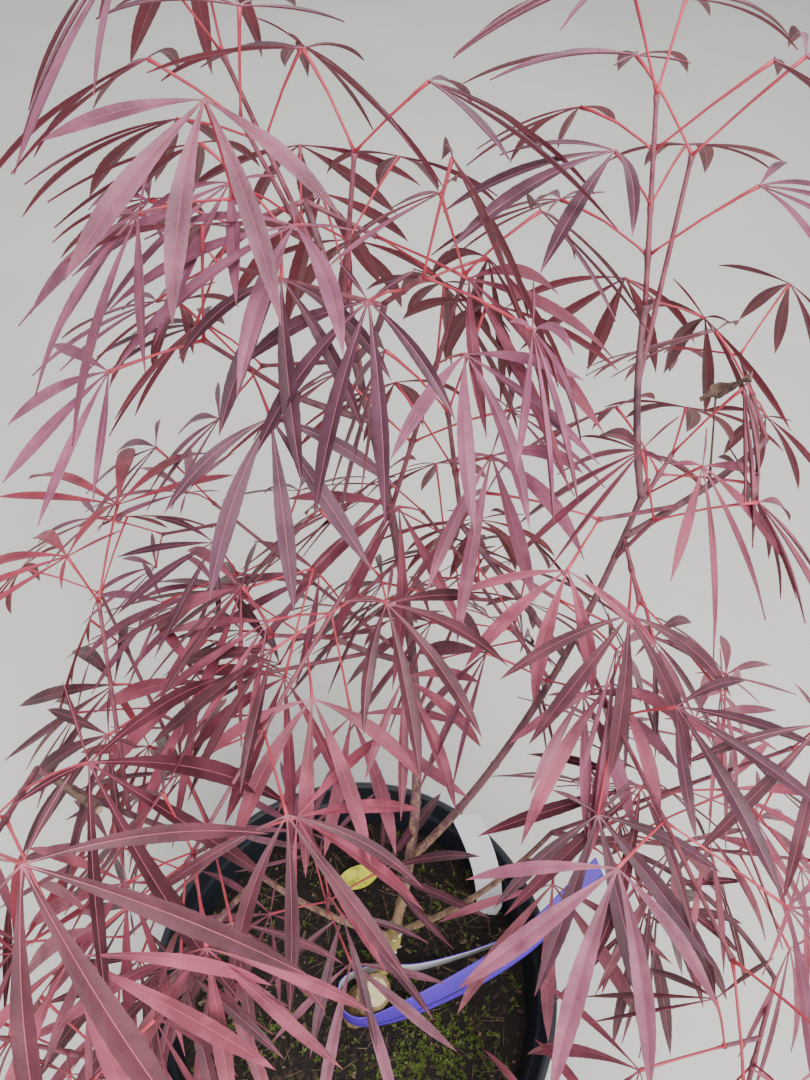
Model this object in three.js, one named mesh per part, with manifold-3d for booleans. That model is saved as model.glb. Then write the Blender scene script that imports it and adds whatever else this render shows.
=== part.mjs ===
// A young grafted Japanese maple with strap-lobed leaves, in a black nursery pot.
// Millimetres, +Z up. The origin is the centre of the pot's flat underside and -Y is the front.
import * as THREE from 'three';
import { mergeVertices } from 'three/addons/utils/BufferGeometryUtils.js';
import Module from 'manifold-3d';

const wasm = await Module();
wasm.setup();

// Pot: a five-litre round nursery pot with a deep rim band
const POT_HEIGHT = 190;
const RIM_RADIUS = 112.5;
const BASE_RADIUS = 82;
const RIM_BAND = 18;
const RIM_STEP = 3.5;
const POT_WALL = 2.2;
const FLOOR_THICKNESS = 3;
const LIP_WIDTH = 4.5;
const POT_SIDES = 32;

// Compost: its level, and how far its surface rises and falls round the trunk
const COMPOST_TOP = 155;
const COMPOST_UNEVEN = 3;
const COMPOST_FLAT_RADIUS = 30;
const SEAT_GAP = 0.3;

// Trunk: a stout sawn rootstock, flared at its foot, with a thin scion grafted behind it
const TRUNK_FOOT = [4, -10];
const FLARE_RADIUS = 12.5;
const FLARE_FADE = 9;
const STOCK_RADIUS = 8;
const STOCK_TOP = [12, -9, 202];
const CUT_FACE = [-0.15, -0.62, 0.77];
const CUT_HEIGHT = 187;
const SAWN_AWAY = 60;
const SCION_START = [9.5, -4.5, 168];
const FORK = [21, 15, 228];
const SCION_BOW = 5;
const SCION_RADII = [3.5, 3.2];
const NODE_SWELL = 1.3;
const NODE_PLACE = 0.8;
const NODE_LENGTH = 0.08;

// Leaf: palmate, with five narrow straps from the end of a thin stalk
const STRAP_WIDTH_SHARE = 0.13;
const STRAP_THICKNESS = 1.1;
const STRAP_WIDEST = 0.46;
const HUB_RADIUS = 1.9;
const HUB_THICKNESS = 1.5;
const NOTCH_END = 122;
const STRAP_TURN = 9;
const STRAP_SAG = 13;
const STRAPS = [
  { angle: 0, share: 1 },
  { angle: 32, share: 0.96 },
  { angle: -32, share: 0.96 },
  { angle: 66, share: 0.72 },
  { angle: -66, share: 0.72 },
];
const FEWEST_STRAPS = 2;
const STALK_LENGTH = 34;
const STALK_RADIUS = 0.8;
const STALK_BARE = 4;
const STALK_SPREAD = 58;
const END_SPREAD = 38;
const STALK_SINK = 0.08;

// How far leaves differ from one another: in degrees, or as a share of the measure
const SPREAD_WANDER = 16;
const STALK_WANDER = 0.4;
const FACE_WANDER = 0.18;
const OUTWARD_PULL = 0.35;
const DROOP_WANDER = 30;
const ROLL_WANDER = 24;
const SIZE_WANDER = 0.24;
const STRAP_WANDER = 0.16;

// Limbs: each runs from a place along its parent to its tip, and bows sideways on the way
const LIMBS = [
  { name: 'main_stem', from: 'trunk', at: 1, tip: [-22, 128, 567],
    bow: 44, toward: -8, radii: [3, 1.4] },
  { name: 'right_stem', from: 'main_stem', at: 0.15, tip: [100, 88, 492],
    bow: 22, toward: -50, radii: [2.6, 1.3] },
  { name: 'left_bough', from: 'trunk', at: 0.84, tip: [-58, 8, 360],
    bow: 18, toward: -150, radii: [2.1, 1.2] },
  { name: 'low_right_bough', from: 'trunk', at: 0.9, tip: [85, 20, 345],
    bow: 12, toward: -60, radii: [2.2, 1.3] },
  { name: 'left_high_bough', from: 'main_stem', at: 0.8, tip: [-27, 100, 512],
    bow: 4, toward: 180, radii: [1.4, 1.1] },
  { name: 'high_middle_bough', from: 'main_stem', at: 0.86, tip: [5, 102, 548],
    bow: 4, toward: 0, radii: [1.4, 1.1] },
  { name: 'left_middle_bough', from: 'main_stem', at: 0.5, tip: [-10, 60, 425],
    bow: 5, toward: 200, radii: [1.5, 1.1] },
  { name: 'centre_bough', from: 'right_stem', at: 0.66, tip: [35, 72, 480],
    bow: 16, toward: -60, radii: [1.5, 1.1] },
  { name: 'far_right_bough', from: 'right_stem', at: 0.9, tip: [140, 98, 504],
    bow: 6, toward: 0, radii: [1.35, 1.1] },
  { name: 'upright_bough', from: 'right_stem', at: 0.97, tip: [89, 112, 546],
    bow: 4, toward: 180, radii: [1.3, 1.1] },
  { name: 'left_front_bough', from: 'left_bough', at: 0.9, tip: [-95, -12, 450],
    bow: 8, toward: 200, radii: [1.25, 1] },
  { name: 'front_left_bough', from: 'left_bough', at: 0.7, tip: [-80, -70, 330],
    bow: 10, toward: 180, radii: [1.4, 1] },
  { name: 'front_right_bough', from: 'low_right_bough', at: 1, tip: [165, -35, 350],
    bow: 30, toward: 45, radii: [1.3, 1] },
];

// Shoots: each leafy shoot grows from a place along its limb
const SHOOTS = [
  { name: 'left_front_leaves', limb: 'left_front_bough', at: 1, bearing: 285, rise: 40, length: 50,
    pairs: 3, leaf: 82, droop: 50, phase: 30, seed: 290 },
  { name: 'centre_front_leaves', limb: 'main_stem', at: 0.64, bearing: -110, rise: 30, length: 45,
    pairs: 2, leaf: 58, droop: 40, phase: 130, seed: 382 },
  { name: 'left_middle_leaves', limb: 'left_middle_bough', at: 1, bearing: 210, rise: 35, length: 30,
    pairs: 2, leaf: 70, droop: 40, phase: 10, seed: 154 },
  { name: 'high_middle_leaves', limb: 'high_middle_bough', at: 1, bearing: -35, rise: 45, length: 20,
    pairs: 2, leaf: 64, droop: 60, phase: 170, seed: 86 },
  { name: 'left_upper_leaves', limb: 'main_stem', at: 0.96, bearing: 235, rise: 40, length: 45,
    pairs: 2, leaf: 58, droop: 40, phase: 150, seed: 230 },
  { name: 'left_high_leaves', limb: 'left_high_bough', at: 1, bearing: 225, rise: 50, length: 45,
    pairs: 2, leaf: 56, droop: 40, phase: 170, seed: 365 },
  { name: 'right_high_leaves', limb: 'right_stem', at: 0.94, bearing: 50, rise: 45, length: 25,
    pairs: 3, leaf: 58, droop: 50, phase: 120, seed: 220 },
  { name: 'right_low_leaves', limb: 'low_right_bough', at: 0.8, bearing: -10, rise: 55, length: 65,
    pairs: 3, leaf: 76, droop: 60, phase: 140, seed: 142 },
  { name: 'right_front_leaves', limb: 'low_right_bough', at: 1, bearing: -5, rise: 55, length: 115,
    pairs: 4, leaf: 58, droop: 30, phase: 20, seed: 55 },
  { name: 'centre_top_leaves', limb: 'centre_bough', at: 1, bearing: 135, rise: 75, length: 45,
    pairs: 2, leaf: 60, droop: 60, phase: 80, seed: 285 },
  { name: 'top_middle_leaves', limb: 'main_stem', at: 0.9, bearing: 5, rise: 85, length: 55,
    pairs: 2, leaf: 60, droop: 20, phase: 150, seed: 328 },
  { name: 'top_right_leaves', limb: 'upright_bough', at: 1, bearing: 105, rise: 65, length: 60,
    pairs: 4, leaf: 54, droop: 20, phase: 130, seed: 394 },
  { name: 'top_left_leaves', limb: 'main_stem', at: 0.92, bearing: 150, rise: 60, length: 75,
    pairs: 3, leaf: 60, droop: 40, phase: 20, seed: 145 },
  { name: 'high_right_leaves', limb: 'main_stem', at: 0.7, bearing: 35, rise: 75, length: 95,
    pairs: 3, leaf: 54, droop: 40, phase: 60, seed: 24 },
  { name: 'far_right_leaves', limb: 'far_right_bough', at: 1, bearing: 90, rise: 5, length: 45,
    pairs: 2, leaf: 54, droop: 50, phase: 50, seed: 357 },
  { name: 'high_left_leaves', limb: 'main_stem', at: 1, bearing: 185, rise: -20, length: 25,
    pairs: 1, leaf: 60, droop: 40, phase: 90, seed: 69 },
  { name: 'high_centre_leaves', limb: 'main_stem', at: 1, bearing: -10, rise: -20, length: 25,
    pairs: 1, leaf: 78, droop: 50, phase: 140, seed: 13 },
  { name: 'top_edge_leaves', limb: 'main_stem', at: 0.92, bearing: 180, rise: 65, length: 60,
    pairs: 1, leaf: 62, droop: 20, phase: 80, seed: 101 },
  { name: 'left_foot_leaves', limb: 'left_bough', at: 0.94, bearing: 285, rise: 65, length: 90,
    pairs: 3, leaf: 72, droop: 50, phase: 100, seed: 284 },
  { name: 'front_low_leaves', limb: 'left_bough', at: 0.34, bearing: -45, rise: 85, length: 35,
    pairs: 3, leaf: 60, droop: 20, phase: 70, seed: 27 },
  { name: 'left_low_leaves', limb: 'left_bough', at: 1, bearing: 125, rise: 25, length: 110,
    pairs: 4, leaf: 60, droop: 50, phase: 70, seed: 132 },
  { name: 'right_middle_leaves', limb: 'right_stem', at: 0.9, bearing: -80, rise: -20, length: 25,
    pairs: 2, leaf: 58, droop: 50, phase: 120, seed: 329 },
  { name: 'right_edge_leaves', limb: 'low_right_bough', at: 1, bearing: -10, rise: 15, length: 100,
    pairs: 4, leaf: 64, droop: 50, phase: 10, seed: 209 },
  { name: 'left_crown_leaves', limb: 'main_stem', at: 0.7, bearing: 245, rise: -15, length: 140,
    pairs: 3, leaf: 64, droop: 45, phase: 120, seed: 213 },
  { name: 'left_side_leaves', limb: 'left_bough', at: 0.9, bearing: 225, rise: -10, length: 50,
    pairs: 3, leaf: 70, droop: 35, phase: 140, seed: 310 },
  { name: 'right_side_leaves', limb: 'right_stem', at: 0.7, bearing: -80, rise: 15, length: 130,
    pairs: 3, leaf: 66, droop: 20, phase: 70, seed: 389 },
  { name: 'back_right_leaves', limb: 'right_stem', at: 0.6, bearing: 130, rise: 20, length: 75,
    pairs: 3, leaf: 78, droop: 55, phase: 10, seed: 139 },
  { name: 'back_middle_leaves', limb: 'main_stem', at: 0.42, bearing: 70, rise: 10, length: 85,
    pairs: 3, leaf: 62, droop: 55, phase: 160, seed: 6 },
  { name: 'back_left_leaves', limb: 'main_stem', at: 0.5, bearing: 150, rise: 20, length: 110,
    pairs: 3, leaf: 58, droop: 25, phase: 70, seed: 181 },
  { name: 'front_middle_leaves', limb: 'front_left_bough', at: 0.86, bearing: -70, rise: 70, length: 80,
    pairs: 3, leaf: 54, droop: 65, phase: 30, seed: 379 },
  { name: 'front_left_leaves', limb: 'front_left_bough', at: 1, bearing: -180, rise: 50, length: 70,
    pairs: 3, leaf: 68, droop: 20, phase: 70, seed: 242 },
  { name: 'front_right_leaves', limb: 'front_right_bough', at: 1, bearing: -120, rise: 5, length: 100,
    pairs: 3, leaf: 74, droop: 45, phase: 80, seed: 360 },
];

const LIMB_SIDES = 6;
const LIMB_STEP = 22;
const SHOOT_RADII = [1.1, 0.85];
const SHOOT_SIDES = 4;
const LEAF_GAP = 0.5;

// Colours
const POT_COLOUR = 0x16181c;
const COMPOST_COLOUR = 0x2e241d;
const BARK_COLOUR = 0x7d6a55;
const LEAF_COLOUR = 0x7c4452;
const TAG_COLOUR = 0x6450c8;
const LABEL_COLOUR = 0xf0f0ee;

// Tag: a ribbon looped round the graft, whose blank head lies over the rim
const TAG_WIDTH = 15;
const TAG_THICKNESS = 0.8;
const TAG_STEPS = 36;
const TAG_STATIONS = [
  { place: [88, 23, 183], lean: 5 },
  { place: [62, 15, 176], lean: 5 },
  { place: [34, 8, 172], lean: 0 },
  { place: [10, 7, 170], lean: 0 },
  { place: [-8, -1, 168], lean: 0 },
  { place: [-7, -15, 168], lean: 0 },
  { place: [5.5, -20.3, 168], lean: 5 },
  { place: [30, -13, 170], lean: 25 },
  { place: [66, 3, 178], lean: 40 },
  { place: [92, 17, 190.8], lean: 45 },
  { place: [109, 30, 198.6], lean: 45 },
  { place: [123, 42, 208], lean: 45 },
  { place: [137, 53, 219], lean: 45 },
];

// Label: a blank stick label pushed into the compost beside the wall
const LABEL_SIZE = [16, 1.2, 103];
const LABEL_FOOT = [80.7, 43.9, 146];
const LABEL_TOP = [57, 70, 243];

const UP = new THREE.Vector3(0, 0, 1);
const degrees = THREE.MathUtils.degToRad;
const vector = (place) => new THREE.Vector3(...place);

// A repeatable row of fractions between 0 and 1
function draws(seed) {
  let state = seed;
  const draw = () => {
    state = (state * 48271) % 2147483647;
    return state / 2147483647;
  };
  draw();
  draw();
  draw();
  return draw;
}

// Closed geometry to a solid, and a solid back to geometry
function solid(geometry) {
  const bare = geometry.clone();
  bare.deleteAttribute('normal');
  bare.deleteAttribute('uv');
  const merged = mergeVertices(bare, 1e-5);
  const vertProperties = new Float32Array(merged.attributes.position.array);
  const triVerts = new Uint32Array(merged.index.array);
  return new wasm.Manifold(new wasm.Mesh({ numProp: 3, vertProperties, triVerts }));
}

function geometryOf(shape) {
  const { vertProperties, triVerts } = shape.getMesh();
  const geometry = new THREE.BufferGeometry();
  geometry.setAttribute('position', new THREE.BufferAttribute(new Float32Array(vertProperties), 3));
  geometry.setIndex(new THREE.BufferAttribute(new Uint32Array(triVerts), 1));
  geometry.computeVertexNormals();
  return geometry;
}

// The largest connected piece, with no sealed hollow and no scrap
function whole(shape) {
  return shape.decompose().sort((a, b) => b.volume() - a.volume())[0];
}

function bent(start, tip, bow, toward) {
  const side = vector([Math.cos(degrees(toward)), Math.sin(degrees(toward)), 0]);
  const middle = start.clone().add(tip).multiplyScalar(0.5).addScaledVector(side, bow);
  return new THREE.QuadraticBezierCurve3(start, middle, tip);
}

// A limb's solid: a cylinder bent along its curve, with its radius given along the way
function limbSolid(curve, radiusAt, sides, steps, grow = 0) {
  const geometry = new THREE.CylinderGeometry(1, 1, 1, sides, steps);
  const { v0, v1, v2 } = curve;
  const plane = v1.clone().sub(v0).cross(v2.clone().sub(v1));
  const straight = plane.length() < 1e-3;
  const across = straight ? UP.clone().cross(v2.clone().sub(v0)).normalize() : plane.normalize();
  const position = geometry.attributes.position;
  for (let i = 0; i < position.count; i += 1) {
    const t = THREE.MathUtils.clamp(position.getY(i) + 0.5, 0, 1);
    const along = curve.getTangent(t);
    const out = across.clone().cross(along);
    const size = radiusAt(t) + grow;
    const place = curve.getPoint(t);
    place.addScaledVector(across, position.getX(i) * size);
    place.addScaledVector(out, position.getZ(i) * size);
    if (t === 0) place.addScaledVector(along, -grow);
    if (t === 1) place.addScaledVector(along, grow);
    position.setXYZ(i, place.x, place.y, place.z);
  }
  return solid(geometry);
}

const taper = (radii) => (t) => THREE.MathUtils.lerp(radii[0], radii[1], t);

const straightLine = (a, b) => new THREE.QuadraticBezierCurve3(a, a.clone().add(b).multiplyScalar(0.5), b);

// A closed outline of radius and height points, turned round the upright axis
function turned(outline, sides) {
  const geometry = new THREE.LatheGeometry(outline.map(([r, z]) => new THREE.Vector2(r, z)), sides);
  geometry.rotateX(Math.PI / 2);
  return solid(geometry);
}

function box(size, place, rotation = new THREE.Quaternion()) {
  const geometry = new THREE.BoxGeometry(...size);
  geometry.applyQuaternion(rotation);
  geometry.translate(...place);
  return solid(geometry);
}

// The wall's inner radius at a height below the rim band
function innerRadius(height) {
  const top = POT_HEIGHT - RIM_BAND;
  return THREE.MathUtils.lerp(BASE_RADIUS, RIM_RADIUS - 2 * RIM_STEP, height / top) - POT_WALL;
}

function makePot() {
  const step = POT_HEIGHT - RIM_BAND;
  const outer = RIM_RADIUS - RIM_STEP;
  return turned([
    [0, 0],
    [BASE_RADIUS, 0],
    [innerRadius(step) + POT_WALL, step],
    [outer - POT_WALL / 2, step],
    [outer, step + 2],
    [RIM_RADIUS, POT_HEIGHT - 2],
    [RIM_RADIUS - 1, POT_HEIGHT],
    [RIM_RADIUS - LIP_WIDTH + 1, POT_HEIGHT],
    [RIM_RADIUS - LIP_WIDTH, POT_HEIGHT - 1.5],
    [innerRadius(step + 3) + 1, step + 4],
    [innerRadius(step + 3), step + 3],
    [innerRadius(FLOOR_THICKNESS), FLOOR_THICKNESS],
    [0, FLOOR_THICKNESS],
  ], POT_SIDES);
}

// The compost fills the pot, and is level where the trunk stands
function makeCompost() {
  const foot = FLOOR_THICKNESS + SEAT_GAP;
  const edge = COMPOST_TOP - COMPOST_UNEVEN;
  return turned([
    [0, foot],
    [innerRadius(foot) - SEAT_GAP, foot],
    [innerRadius(edge) - SEAT_GAP, edge],
    [78, COMPOST_TOP - COMPOST_UNEVEN / 2],
    [54, COMPOST_TOP + COMPOST_UNEVEN / 2],
    [COMPOST_FLAT_RADIUS, COMPOST_TOP],
    [0, COMPOST_TOP],
  ], POT_SIDES);
}

function limbCurve({ from, at, tip, bow, toward }) {
  return bent(curves[from].getPoint(at), vector(tip), bow, toward);
}

// The rootstock stands on a flared foot and is sawn off aslant above the graft
function makeTrunk() {
  const foot = vector([...TRUNK_FOOT, COMPOST_TOP - 5]);
  const stockTop = vector(STOCK_TOP);
  const height = stockTop.z - foot.z;
  const flare = (t) => STOCK_RADIUS + (FLARE_RADIUS - STOCK_RADIUS) * Math.exp((-t * height) / FLARE_FADE);
  const stock = limbSolid(straightLine(foot, stockTop), flare, 10, 8);
  const facing = vector(CUT_FACE).normalize();
  const upright = new THREE.Quaternion().setFromUnitVectors(UP, facing);
  const above = vector([STOCK_TOP[0], STOCK_TOP[1], CUT_HEIGHT]).addScaledVector(facing, SAWN_AWAY / 2);
  const saw = box([SAWN_AWAY, SAWN_AWAY, SAWN_AWAY], above.toArray(), upright);
  const node = (t) => NODE_SWELL * Math.exp(-(((t - NODE_PLACE) / NODE_LENGTH) ** 2));
  const scion = limbSolid(curves.trunk, (t) => taper(SCION_RADII)(t) + node(t), 8, 12);
  const ground = box([SAWN_AWAY, SAWN_AWAY, SAWN_AWAY], [0, 0, COMPOST_TOP + SEAT_GAP - SAWN_AWAY / 2]);
  return stock.subtract(saw).add(scion).subtract(ground);
}

// Directions and lengths of a leaf, from where its stalk leaves the shoot
function leafPlan(root, along, side, seed, { leaf, droop }, spread) {
  const draw = draws(seed);
  const wander = (range) => range * (draw() - 0.5);
  const wide = degrees(spread + wander(SPREAD_WANDER));
  const reach = along.clone().multiplyScalar(Math.cos(wide));
  reach.addScaledVector(side, Math.sin(wide)).normalize();
  const stalk = STALK_LENGTH * (1 + wander(STALK_WANDER));
  const joint = root.clone().addScaledVector(reach, stalk).addScaledVector(UP, -STALK_SINK * stalk);
  const outward = joint.clone().setZ(0).normalize();
  const level = reach.clone().setZ(0);
  const ahead = level.length() > 0.15 ? level.normalize() : outward;
  const drift = new THREE.Vector3(wander(FACE_WANDER), wander(FACE_WANDER), 0);
  const face = ahead.clone().addScaledVector(outward, OUTWARD_PULL).add(drift).normalize();
  const dip = degrees(droop + wander(DROOP_WANDER));
  const axis = face.clone().multiplyScalar(Math.cos(dip)).addScaledVector(UP, -Math.sin(dip));
  const across = UP.clone().cross(face).applyAxisAngle(axis, degrees(wander(ROLL_WANDER)));
  const normal = axis.clone().cross(across);
  const scale = leaf * (1 + wander(SIZE_WANDER));
  const straps = STRAPS.map(({ angle, share }) => {
    const turn = degrees(angle + wander(STRAP_TURN));
    const length = scale * share * (1 + wander(STRAP_WANDER));
    const way = axis.clone().multiplyScalar(Math.cos(turn)).addScaledVector(across, Math.sin(turn));
    const sag = degrees(STRAP_SAG * (0.5 + draw()));
    return { turn: THREE.MathUtils.radToDeg(turn), way, length, sag };
  });
  return { root, joint, axis, across, normal, straps };
}

// The corners of a strap: two edges and a keel at its widest place, then its point, which bends down
function strapCorners({ joint, normal }, { way, length, sag }, grow = 0) {
  const across = normal.clone().cross(way).normalize();
  const middle = joint.clone().addScaledVector(way, length * STRAP_WIDEST);
  const lower = way.clone().addScaledVector(UP, -0.6 * Math.tan(2 * sag)).normalize();
  const tip = middle.clone().addScaledVector(lower, length * (1 - STRAP_WIDEST) + 2 * grow);
  const halfWidth = length * STRAP_WIDTH_SHARE / 2 + grow;
  const keel = middle.clone().addScaledVector(normal, -STRAP_THICKNESS * 2 / 3 - grow);
  middle.addScaledVector(normal, STRAP_THICKNESS / 3 + grow);
  const left = middle.clone().addScaledVector(across, halfWidth);
  const right = middle.clone().addScaledVector(across, -halfWidth);
  return { left, right, keel, tip };
}

function solidOf(corners, faces) {
  const vertProperties = new Float32Array(corners.flatMap((corner) => corner.toArray()));
  const triVerts = new Uint32Array(faces.flat());
  return new wasm.Manifold(new wasm.Mesh({ numProp: 3, vertProperties, triVerts }));
}

// The space that a strap needs, from its leaf's hub to past its point
function strapRoom(leaf, strap, gap) {
  const { left, right, keel, tip } = strapCorners(leaf, strap, gap);
  const corners = [leaf.joint, left, right, keel, tip];
  return solidOf(corners, [[0, 2, 1], [0, 3, 2], [0, 1, 3], [4, 1, 2], [4, 2, 3], [4, 3, 1]]);
}

// The space that a stalk needs
function stalkRoom({ root, joint }, gap) {
  const along = joint.clone().sub(root).normalize();
  const start = root.clone().addScaledVector(along, STALK_BARE);
  return limbSolid(straightLine(start, joint), () => STALK_RADIUS, 3, 1, gap);
}

// A leaf is one thin star: its straps share a small hub, notches part them, and the stalk runs back
// from the hub as a three-sided rod to a root sunk in the shoot
function leafSolid(leaf, straps) {
  const { root, joint, axis, across, normal } = leaf;
  const hubPlace = (angle) => joint.clone()
    .addScaledVector(axis, HUB_RADIUS * Math.cos(degrees(angle)))
    .addScaledVector(across, HUB_RADIUS * Math.sin(degrees(angle)));
  const ordered = [...straps].sort((a, b) => b.turn - a.turn);
  const turns = ordered.map(({ turn }) => turn);
  const notches = [NOTCH_END, ...turns.slice(1).map((turn, i) => (turn + turns[i]) / 2), -NOTCH_END];
  const along = joint.clone().sub(root).normalize();
  const aside = across.clone().addScaledVector(along, -across.dot(along)).normalize();
  const under = aside.clone().cross(along);
  const corners = [
    joint.clone().addScaledVector(normal, HUB_THICKNESS / 3),
    joint.clone().addScaledVector(normal, -HUB_THICKNESS * 2 / 3),
    root.clone().addScaledVector(aside, STALK_RADIUS),
    root.clone().addScaledVector(aside, -STALK_RADIUS),
    root.clone().addScaledVector(under, STALK_RADIUS * 1.4),
    ...notches.map(hubPlace),
  ];
  const [above, below, rootLeft, rootRight, rootUnder, first] = [0, 1, 2, 3, 4, 5];
  const last = first + notches.length - 1;
  const faces = [
    [above, first, last],
    [first, rootLeft, last], [last, rootLeft, rootRight],
    [first, below, rootLeft], [below, rootUnder, rootLeft],
    [last, rootRight, below], [below, rootRight, rootUnder],
    [rootLeft, rootUnder, rootRight],
  ];
  ordered.forEach((strap, i) => {
    const { left, right, keel, tip } = strapCorners(leaf, strap);
    const [l, r, k, t] = [0, 1, 2, 3].map((n) => corners.length + n);
    const [a, b] = [first + i, first + i + 1];
    corners.push(left, right, keel, tip);
    faces.push([above, b, a], [a, b, l], [l, b, r], [l, r, t]);
    faces.push([below, a, k], [a, l, k], [l, t, k], [t, r, k], [r, b, k], [b, below, k]);
  });
  return solidOf(corners, faces);
}

// The leaves of a shoot stand in crossed pairs along it, with the last pair at its tip
function leavesOf(shoot) {
  const start = curves[shoot.limb].getPoint(shoot.at);
  const rise = degrees(shoot.rise);
  const bearing = degrees(shoot.bearing);
  const level = Math.cos(rise);
  const along = new THREE.Vector3(level * Math.cos(bearing), level * Math.sin(bearing), Math.sin(rise));
  const tip = start.clone().addScaledVector(along, shoot.length);
  const flat = UP.clone().cross(along).normalize();
  const high = along.clone().cross(flat);
  const leaves = [];
  for (let pair = 0; pair < shoot.pairs; pair += 1) {
    const t = (pair + 1) / shoot.pairs;
    const root = start.clone().lerp(tip, t);
    const turn = degrees(shoot.phase + 90 * pair);
    const side = flat.clone().multiplyScalar(Math.cos(turn)).addScaledVector(high, Math.sin(turn));
    for (const sign of [1, -1]) {
      const seed = 1 + shoot.seed * 1009 + leaves.length * 37;
      const spread = t < 1 ? STALK_SPREAD : END_SPREAD;
      leaves.push(leafPlan(root, along, side.clone().multiplyScalar(sign), seed, shoot, spread));
    }
  }
  return { stem: straightLine(start, tip), leaves };
}

// A plant tag: a thin ribbon along a path, its width leaning back by a given angle along the way
function ribbonSolid(stations, width, thickness, steps, grow = 0) {
  const path = new THREE.CatmullRomCurve3(stations.map(({ place }) => vector(place)), false, 'centripetal');
  const geometry = new THREE.BoxGeometry(1, 1, 1, steps, 1, 1);
  const position = geometry.attributes.position;
  for (let i = 0; i < position.count; i += 1) {
    const t = THREE.MathUtils.clamp(position.getX(i) + 0.5, 0, 1);
    const along = path.getTangent(t);
    const back = UP.clone().cross(along).setZ(0).normalize();
    const station = t * (stations.length - 1);
    const before = stations[Math.floor(station)];
    const after = stations[Math.ceil(station)];
    const lean = degrees(THREE.MathUtils.lerp(before.lean, after.lean, station % 1));
    const wide = UP.clone().multiplyScalar(Math.cos(lean)).addScaledVector(back, Math.sin(lean));
    const thin = along.clone().cross(wide).normalize();
    const place = path.getPoint(t);
    place.addScaledVector(wide, position.getY(i) * (width + 2 * grow));
    place.addScaledVector(thin, position.getZ(i) * (thickness + 2 * grow));
    position.setXYZ(i, place.x, place.y, place.z);
  }
  return solid(geometry);
}

const group = new THREE.Group();

function addMesh(name, shape, colour, roughness) {
  const material = new THREE.MeshStandardMaterial({ color: colour, roughness, metalness: 0 });
  const mesh = new THREE.Mesh(geometryOf(shape), material);
  mesh.name = name;
  group.add(mesh);
}

const compost = makeCompost();
addMesh('pot', makePot(), POT_COLOUR, 0.45);

const curves = { trunk: bent(vector(SCION_START), vector(FORK), SCION_BOW, -60) };
const trunk = makeTrunk();
addMesh('trunk', trunk, BARK_COLOUR, 0.8);

// Each limb is cut clear of the limbs before it, so that it meets its parent across a small gap
const solids = { trunk };
let limbsClear = limbSolid(curves.trunk, taper(SCION_RADII), 8, 12, SEAT_GAP).add(trunk);
for (const row of LIMBS) {
  curves[row.name] = limbCurve(row);
  const radius = taper(row.radii);
  const steps = Math.ceil(curves[row.name].getLength() / LIMB_STEP);
  const shape = limbSolid(curves[row.name], radius, LIMB_SIDES, steps);
  solids[row.name] = whole(shape.subtract(limbsClear));
  limbsClear = limbsClear.add(limbSolid(curves[row.name], radius, LIMB_SIDES, steps, SEAT_GAP));
  addMesh(row.name, solids[row.name], BARK_COLOUR, 0.75);
}

const tag = ribbonSolid(TAG_STATIONS, TAG_WIDTH, TAG_THICKNESS, TAG_STEPS);
addMesh('tag', tag, TAG_COLOUR, 0.4);

function labelSolid(grow = 0) {
  const along = vector(LABEL_TOP).sub(vector(LABEL_FOOT));
  const rotation = new THREE.Quaternion().setFromUnitVectors(UP, along.clone().normalize());
  const place = vector(LABEL_FOOT).addScaledVector(along, 0.5);
  return box(LABEL_SIZE.map((side) => side + 2 * grow), place.toArray(), rotation);
}

addMesh('label', labelSolid(), LABEL_COLOUR, 0.4);
addMesh('compost', whole(compost.subtract(labelSolid(SEAT_GAP))), COMPOST_COLOUR, 0.95);

// A strap or leaf that would come too close to anything but its own shoot is left out
const fixed = [...Object.values(solids), tag, labelSolid(), makePot(), compost];
const shoots = SHOOTS.map((row) => {
  const { stem, leaves } = leavesOf(row);
  const mass = whole(limbSolid(stem, taper(SHOOT_RADII), SHOOT_SIDES, 1).subtract(limbsClear));
  limbsClear = limbsClear.add(limbSolid(stem, taper(SHOOT_RADII), SHOOT_SIDES, 1, SEAT_GAP));
  return { name: row.name, leaves, mass };
});

function isFree(shape, own) {
  const others = shoots.filter((shoot) => shoot !== own).map(({ mass }) => mass);
  return [...fixed, ...others].every((other) => shape.intersect(other).isEmpty());
}

for (const shoot of shoots) {
  for (const leaf of shoot.leaves) {
    const straps = leaf.straps.filter((strap) => isFree(strapRoom(leaf, strap, LEAF_GAP), shoot));
    if (straps.length >= FEWEST_STRAPS) {
      const shape = leafSolid(leaf, straps);
      const free = isFree(shape, shoot) && isFree(stalkRoom(leaf, LEAF_GAP), shoot);
      if (free) shoot.mass = shoot.mass.add(shape);
    }
  }
  shoot.mass = whole(shoot.mass);
  addMesh(shoot.name, shoot.mass, LEAF_COLOUR, 0.6);
}

export default group;
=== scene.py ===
"""A young grafted Japanese maple in a black nursery pot, dressed for rendering.

Shapes are worked out in millimetres, in the part's frame, and written to meshes in metres. Angles are in
degrees, and bearings turn from +X toward +Y.
"""
from itertools import product
from math import cos, exp, hypot, pi, radians, sin, sqrt, tan

import bpy
import numpy as np
from mathutils import Matrix, Vector


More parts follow.
